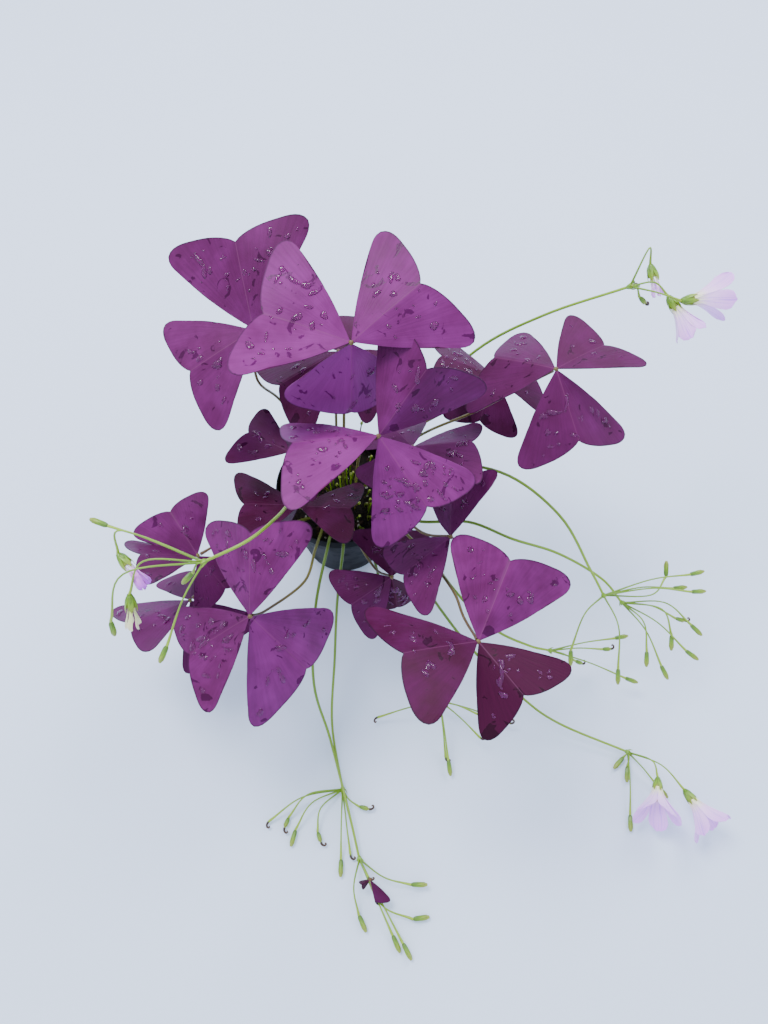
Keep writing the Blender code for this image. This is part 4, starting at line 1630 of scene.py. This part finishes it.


# Each leaf has its centre, where its stalk leaves the soil, its leaflets, and points on its stalk.
# A leaflet's numbers are its heading, pitch, roll, fold, size, drops and tone.
# The tone is partly the leaflet's own purple and partly painted light and shade:
# it is lowered where other leaves shade a leaflet and raised where a leaflet gets little light.
LEAVES = (
    Leaf("leaf_back_left", (-41, 18, 220), (-14, 10),
         (Leaflet(105, 37, -20, 4, 65, 26, 0.36), Leaflet(-155, -17, -12, 9, 58, 12, 0.4),
          Leaflet(20, -10, 0, 15, 30)), ((-22, 20, 118), (-36, 24, 148), (-44, 12, 184))),
    Leaf("leaf_crown", (14, -8, 240), (2, 2),
         (Leaflet(165, 13, -10, -12, 64, 22, 0.58), Leaflet(32, 27, 16, 14, 62, 15, 0.5),
          Leaflet(-93, -74, -15, 34, 65, 8, 0.8)), ((6, -2, 150), (9, 2, 205))),
    Leaf("leaf_back_inner", (3, 37, 179), (-2, 14),
         (Leaflet(-150, -5, 0, 25, 56, 12, 0.12), Leaflet(95, -10, 0, 15, 50, 4, 0.1),
          Leaflet(-20, -25, 0, 15, 46, 4, 0.1))),
    Leaf("leaf_middle", (28, -42, 205), (10, -8),
         (Leaflet(34, 50, 34, 32, 61, 14, 0.36), Leaflet(-175, 5, 20, 20, 62, 26, 0.6),
          Leaflet(-52, -22, 14, 32, 62, 44, 0.56))),
    Leaf("leaf_right", (127, 2, 206), (24, 4),
         (Leaflet(33, 0, -15, -8, 48, 5, 0.22), Leaflet(145, -20, -5, 20, 56, 9, 0.25),
          Leaflet(-72, -20, 6, 28, 57, 20, 0.3)), ((50, 8, 125), (88, 4, 164))),
    Leaf("leaf_right_inner", (101, 36, 156), (18, 12),
         (Leaflet(170, 26, 18, 10, 50, 34, 0.08), Leaflet(20, -20, 0, 15, 44, 8, 0.15),
          Leaflet(-110, -25, 0, 15, 40, 6, 0.15)), ((46, 24, 108), (85, 36, 130))),
    Leaf("leaf_inner_right", (48, -20, 160), (12, 0),
         (Leaflet(0, 15, -20, 15, 48, 8, 0.34), Leaflet(118, -20, 0, 15, 36, 5, 0.3),
          Leaflet(-128, -30, 0, 15, 42, 4, 0.3)), ((31, -19, 125),)),
    Leaf("leaf_front_right", (70, -72, 144), (18, -12),
         (Leaflet(90, 5, -50, 20, 46, 22, 0.3), Leaflet(-148, -18, 22, 8, 48, 18, 0.34),
          Leaflet(-5, -20, -50, 25, 44, 5, 0.15)), ((34, -32, 108), (54, -60, 126))),
    Leaf("leaf_front_right_outer", (80, -142, 163), (20, -22),
         (Leaflet(66, 20, 0, 30, 62, 20, 0.44), Leaflet(-165, 25, 20, 8, 60, 14, 0.1),
          Leaflet(-55, 8, 12, 20, 48, 18, -0.1)),
         ((34, -40, 103), (54, -66, 115), (71, -98, 127), (75, -122, 145))),
    Leaf("leaf_front", (36, -77, 96), (8, -20),
         (Leaflet(-150, -17, -17, 20, 43, 18, 0.25), Leaflet(90, 5, 5, 15, 42, 10, 0.15),
          Leaflet(-75, -50, 0, 38, 31, 14, 0.05)), ((12, -45, 90), (25, -66, 85))),
    Leaf("leaf_front_left", (-44, -120, 141), (-10, -26),
         (Leaflet(92, 30, -34, 6, 63, 26, 0.46), Leaflet(-153, -14, 9, 8, 55, 30, 0.4),
          Leaflet(-33, -44, -2, 20, 69, 12, 0.56)), ((-14, -55, 92), (-19, -82, 101), (-38, -108, 120))),
    Leaf("leaf_left", (-83, -73, 120), (-22, -14),
         (Leaflet(125, 20, 0, 25, 44, 7, 0.42), Leaflet(-170, 30, 38, 8, 46, 5, 0.26),
          Leaflet(-45, -30, 0, 15, 36, 5, 0.3))),
    Leaf("leaf_left_low", (-94, -88, 84), (-18, -22),
         (Leaflet(-150, 20, 35, 5, 51.5, 13, 0.36), Leaflet(100, -25, 0, 15, 42, 5, 0.3),
          Leaflet(-50, -20, 0, 15, 46, 5, 0.34)), ((-34, -38, 91), (-62, -62, 96))),
    Leaf("leaf_inner_left", (-26, -20, 154), (-8, -2),
         (Leaflet(155, 12, 10, 6, 38, 9, 0.2), Leaflet(85, -20, 0, 15, 36, 5, 0.3),
          Leaflet(-15, -30, 0, 15, 32, 4, 0.2)), ((-17, -14, 120),)),
    Leaf("leaf_over_rim", (-22, -42, 126), (-10, -12),
         (Leaflet(-175, 20, 16, 2, 46, 6, 0.05), Leaflet(-5, 10, -20, 5, 44, 7, 0.02),
          Leaflet(165, -50, 0, 15, 30, 2, 0.05)), ((-17, -33, 101),)),
)

# Each scape has where it leaves the soil, the points of its stem up to its end, and its pedicels.
# A pedicel has what it ends in, its tip, how high it bows, and where it faces unless that is straight on.
SCAPES = (
    Scape("scape_front", (2, -33),
          ((4, -49, 87), (2, -63, 76), (-1, -82, 58), (-3, -112, 34), (-5, -150, 9), (3, -192, 3)),
          (Pedicel(End.POD, (-35, -217, 3), 9, (-3, -8, 0)),
           Pedicel(End.BUD, (-30, -228, 3), 8, (-2, -8, 0)),
           Pedicel(End.POD, (-10, -226, 3), 6, (3, -8, 0)),
           Pedicel(End.BARE, (-45, -212, 3), 8, (-6, -6, 0)),
           Pedicel(End.POD, (22, -205, 4), 4, (8, -2, 0)), Pedicel(End.BUD, (3, -246, 3), 6),
           Pedicel(End.BARE, (9, -232, 3)))),
    Scape("scape_front_long", (-5, -33),
          ((-6, -52, 90), (-14, -90, 74), (-16, -130, 40), (-6, -160, 8), (8, -208, 8), (15, -235, 4)),
          (Pedicel(End.BUD, (20, -277, 3), 8, (4, -8, 0)), Pedicel(End.BARE, (21, -246, 13), 2),
           Pedicel(End.BUD, (59, -250, 6), 3, (8, 0, 0)), Pedicel(End.BUD, (60, -268, 3), 4, (8, 1, 0)),
           Pedicel(End.BUD, (41, -288, 3), 6), Pedicel(End.BUD, (48, -292, 3), 4))),
    Scape("scape_left", (-16, -6),
          ((-19, -22, 112), (-23, -50, 150), (-27, -75, 176), (-39, -97, 191), (-62, -107, 186)),
          (Pedicel(End.BUD, (-123, -85, 192)), Pedicel(End.CALYX, (-102, -107, 178), 12, (6, -6, -4)),
           Pedicel(End.BUD, (-115, -134, 148), 14, (0, -4, -8)),
           Pedicel(End.CALYX, (-104, -124, 160), 8, (0, -6, -7)),
           Pedicel(End.BUD, (-76, -113, 171)), Pedicel(End.BUD, (-88, -150, 151), 6))),
    Scape("scape_back_right", (25, 15), ((50, 34, 118), (91, 60, 152), (131, 65, 180), (175, 58, 212)),
          (Pedicel(End.CALYX, (190, 62, 212), 12, (2, -5, -4)),
           Pedicel(End.CALYX, (213, 50, 210), 4, (8, 2, -1)),
           Pedicel(End.CALYX, (203, 46, 205), 3, (5, -6, -4)), Pedicel(End.POD, (184, 66, 204)),
           Pedicel(End.POD, (188, 55, 200)))),
    Scape("scape_right", (29, -3),
          ((60, -8, 118), (104, -22, 134), (140, -47, 124), (163, -72, 96), (174, -83, 80)),
          (Pedicel(End.BUD, (220, -57, 78), 5, (0, 8, 5)), Pedicel(End.BUD, (245, -64, 76), 9),
           Pedicel(End.BUD, (234, -73, 70), 8), Pedicel(End.BUD, (246, -76, 70), 9),
           Pedicel(End.BUD, (184, -134, 50), 10, (0, -8, -5)),
           Pedicel(End.BUD, (154, -122, 52), 12, (0, -8, -5)))),
    Scape("scape_right_lower", (25, -10),
          ((52, -36, 95), (86, -40, 101), (114, -53, 102), (144, -60, 95), (174, -71, 80), (191, -81, 62)),
          (Pedicel(End.BUD, (245, -101, 52), 9, (6, -5, -3)),
           Pedicel(End.BUD, (223, -111, 50), 8, (0, -8, -5)), Pedicel(End.BUD, (242, -116, 46), 8),
           Pedicel(End.BUD, (221, -128, 41), 6, (4, -7, -4)),
           Pedicel(End.BUD, (206, -121, 46), 8, (0, -8, -5)), Pedicel(End.POD, (234, -93, 58), 8))),
    Scape("scape_right_front", (28, -17),
          ((41, -30, 90), (57, -50, 84), (80, -78, 70), (104, -98, 58), (128, -107, 50), (144, -108, 42)),
          (Pedicel(End.BUD, (202, -94, 32)), Pedicel(End.POD, (190, -103, 30)),
           Pedicel(End.POD, (170, -112, 24)), Pedicel(End.BUD, (209, -123, 16)))),
    Scape("scape_front_right", (25, -25),
          ((32, -36, 89), (46, -60, 84), (84, -104, 54), (123, -134, 26), (151, -150, 12), (198, -168, 5)),
          (Pedicel(End.CALYX, (209, -196, 20), 6, (-2, -7, 2)),
           Pedicel(End.CALYX, (232, -203, 20), 6, (4, -7, 1)), Pedicel(End.BUD, (187, -179, 3)),
           Pedicel(End.BUD, (195, -188, 3)), Pedicel(End.BUD, (193, -219, 3), 3),
           Pedicel(End.BUD, (221, -198, 4), 2))),
    Scape("scape_front_mid", (14, -30),
          ((20, -44, 89), (26, -60, 70), (34, -82, 48), (50, -112, 32), (69, -137, 22)),
          (Pedicel(End.BARE, (27, -145, 8)), Pedicel(End.BARE, (73, -171, 4)),
           Pedicel(End.BUD, (76, -184, 4)), Pedicel(End.BARE, (94, -146, 22)),
           Pedicel(End.BARE, (96, -160, 14)), Pedicel(End.POD, (119, -150, 10)))),
)

# Each bloom has its scape, the number of its pedicel there, its length, its mouth's radius and its stage.
BLOOMS = (
    Bloom("bloom_left_upper", "scape_left", 1, 14, 2.6, Stage.ROLLED),
    Bloom("bloom_left_lower", "scape_left", 3, 11, 4.0, Stage.SPENT),
    Bloom("bloom_back_right_bud", "scape_back_right", 0, 10, 3.0, Stage.CLOSED),
    Bloom("bloom_back_right_outer", "scape_back_right", 1, 20, 12.0, Stage.OPEN),
    Bloom("bloom_back_right_inner", "scape_back_right", 2, 18, 8.0, Stage.OPEN),
    Bloom("bloom_front_right_near", "scape_front_right", 0, 21, 13.0, Stage.OPEN),
    Bloom("bloom_front_right_far", "scape_front_right", 1, 20, 12.0, Stage.OPEN),
)

YOUNG_LEAF = YoungLeaf((22.3, -247.3, 14.3),
                       (Leaflet(-78, 6, 35, 66, 17, 0, 0.15), Leaflet(-150, 4, 0, 60, 8, 0, 0.0)))


def main() -> None:
    """Builds every piece of the plant, then the studio round it."""
    finishes = Finishes()
    Pot().build(finishes)
    Soil().build(finishes)
    Shoots().build(finishes)
    for leaf in LEAVES:
        leaf.build_stalk(finishes)
        leaf.build_blades(finishes)
        leaf.build_drops(finishes)
    for scape in SCAPES:
        scape.build(finishes)
    for bloom in BLOOMS:
        bloom.build(SCAPES, finishes)
    YOUNG_LEAF.build(finishes)
    Studio().build(finishes)


if __name__ == "__main__":
    main()
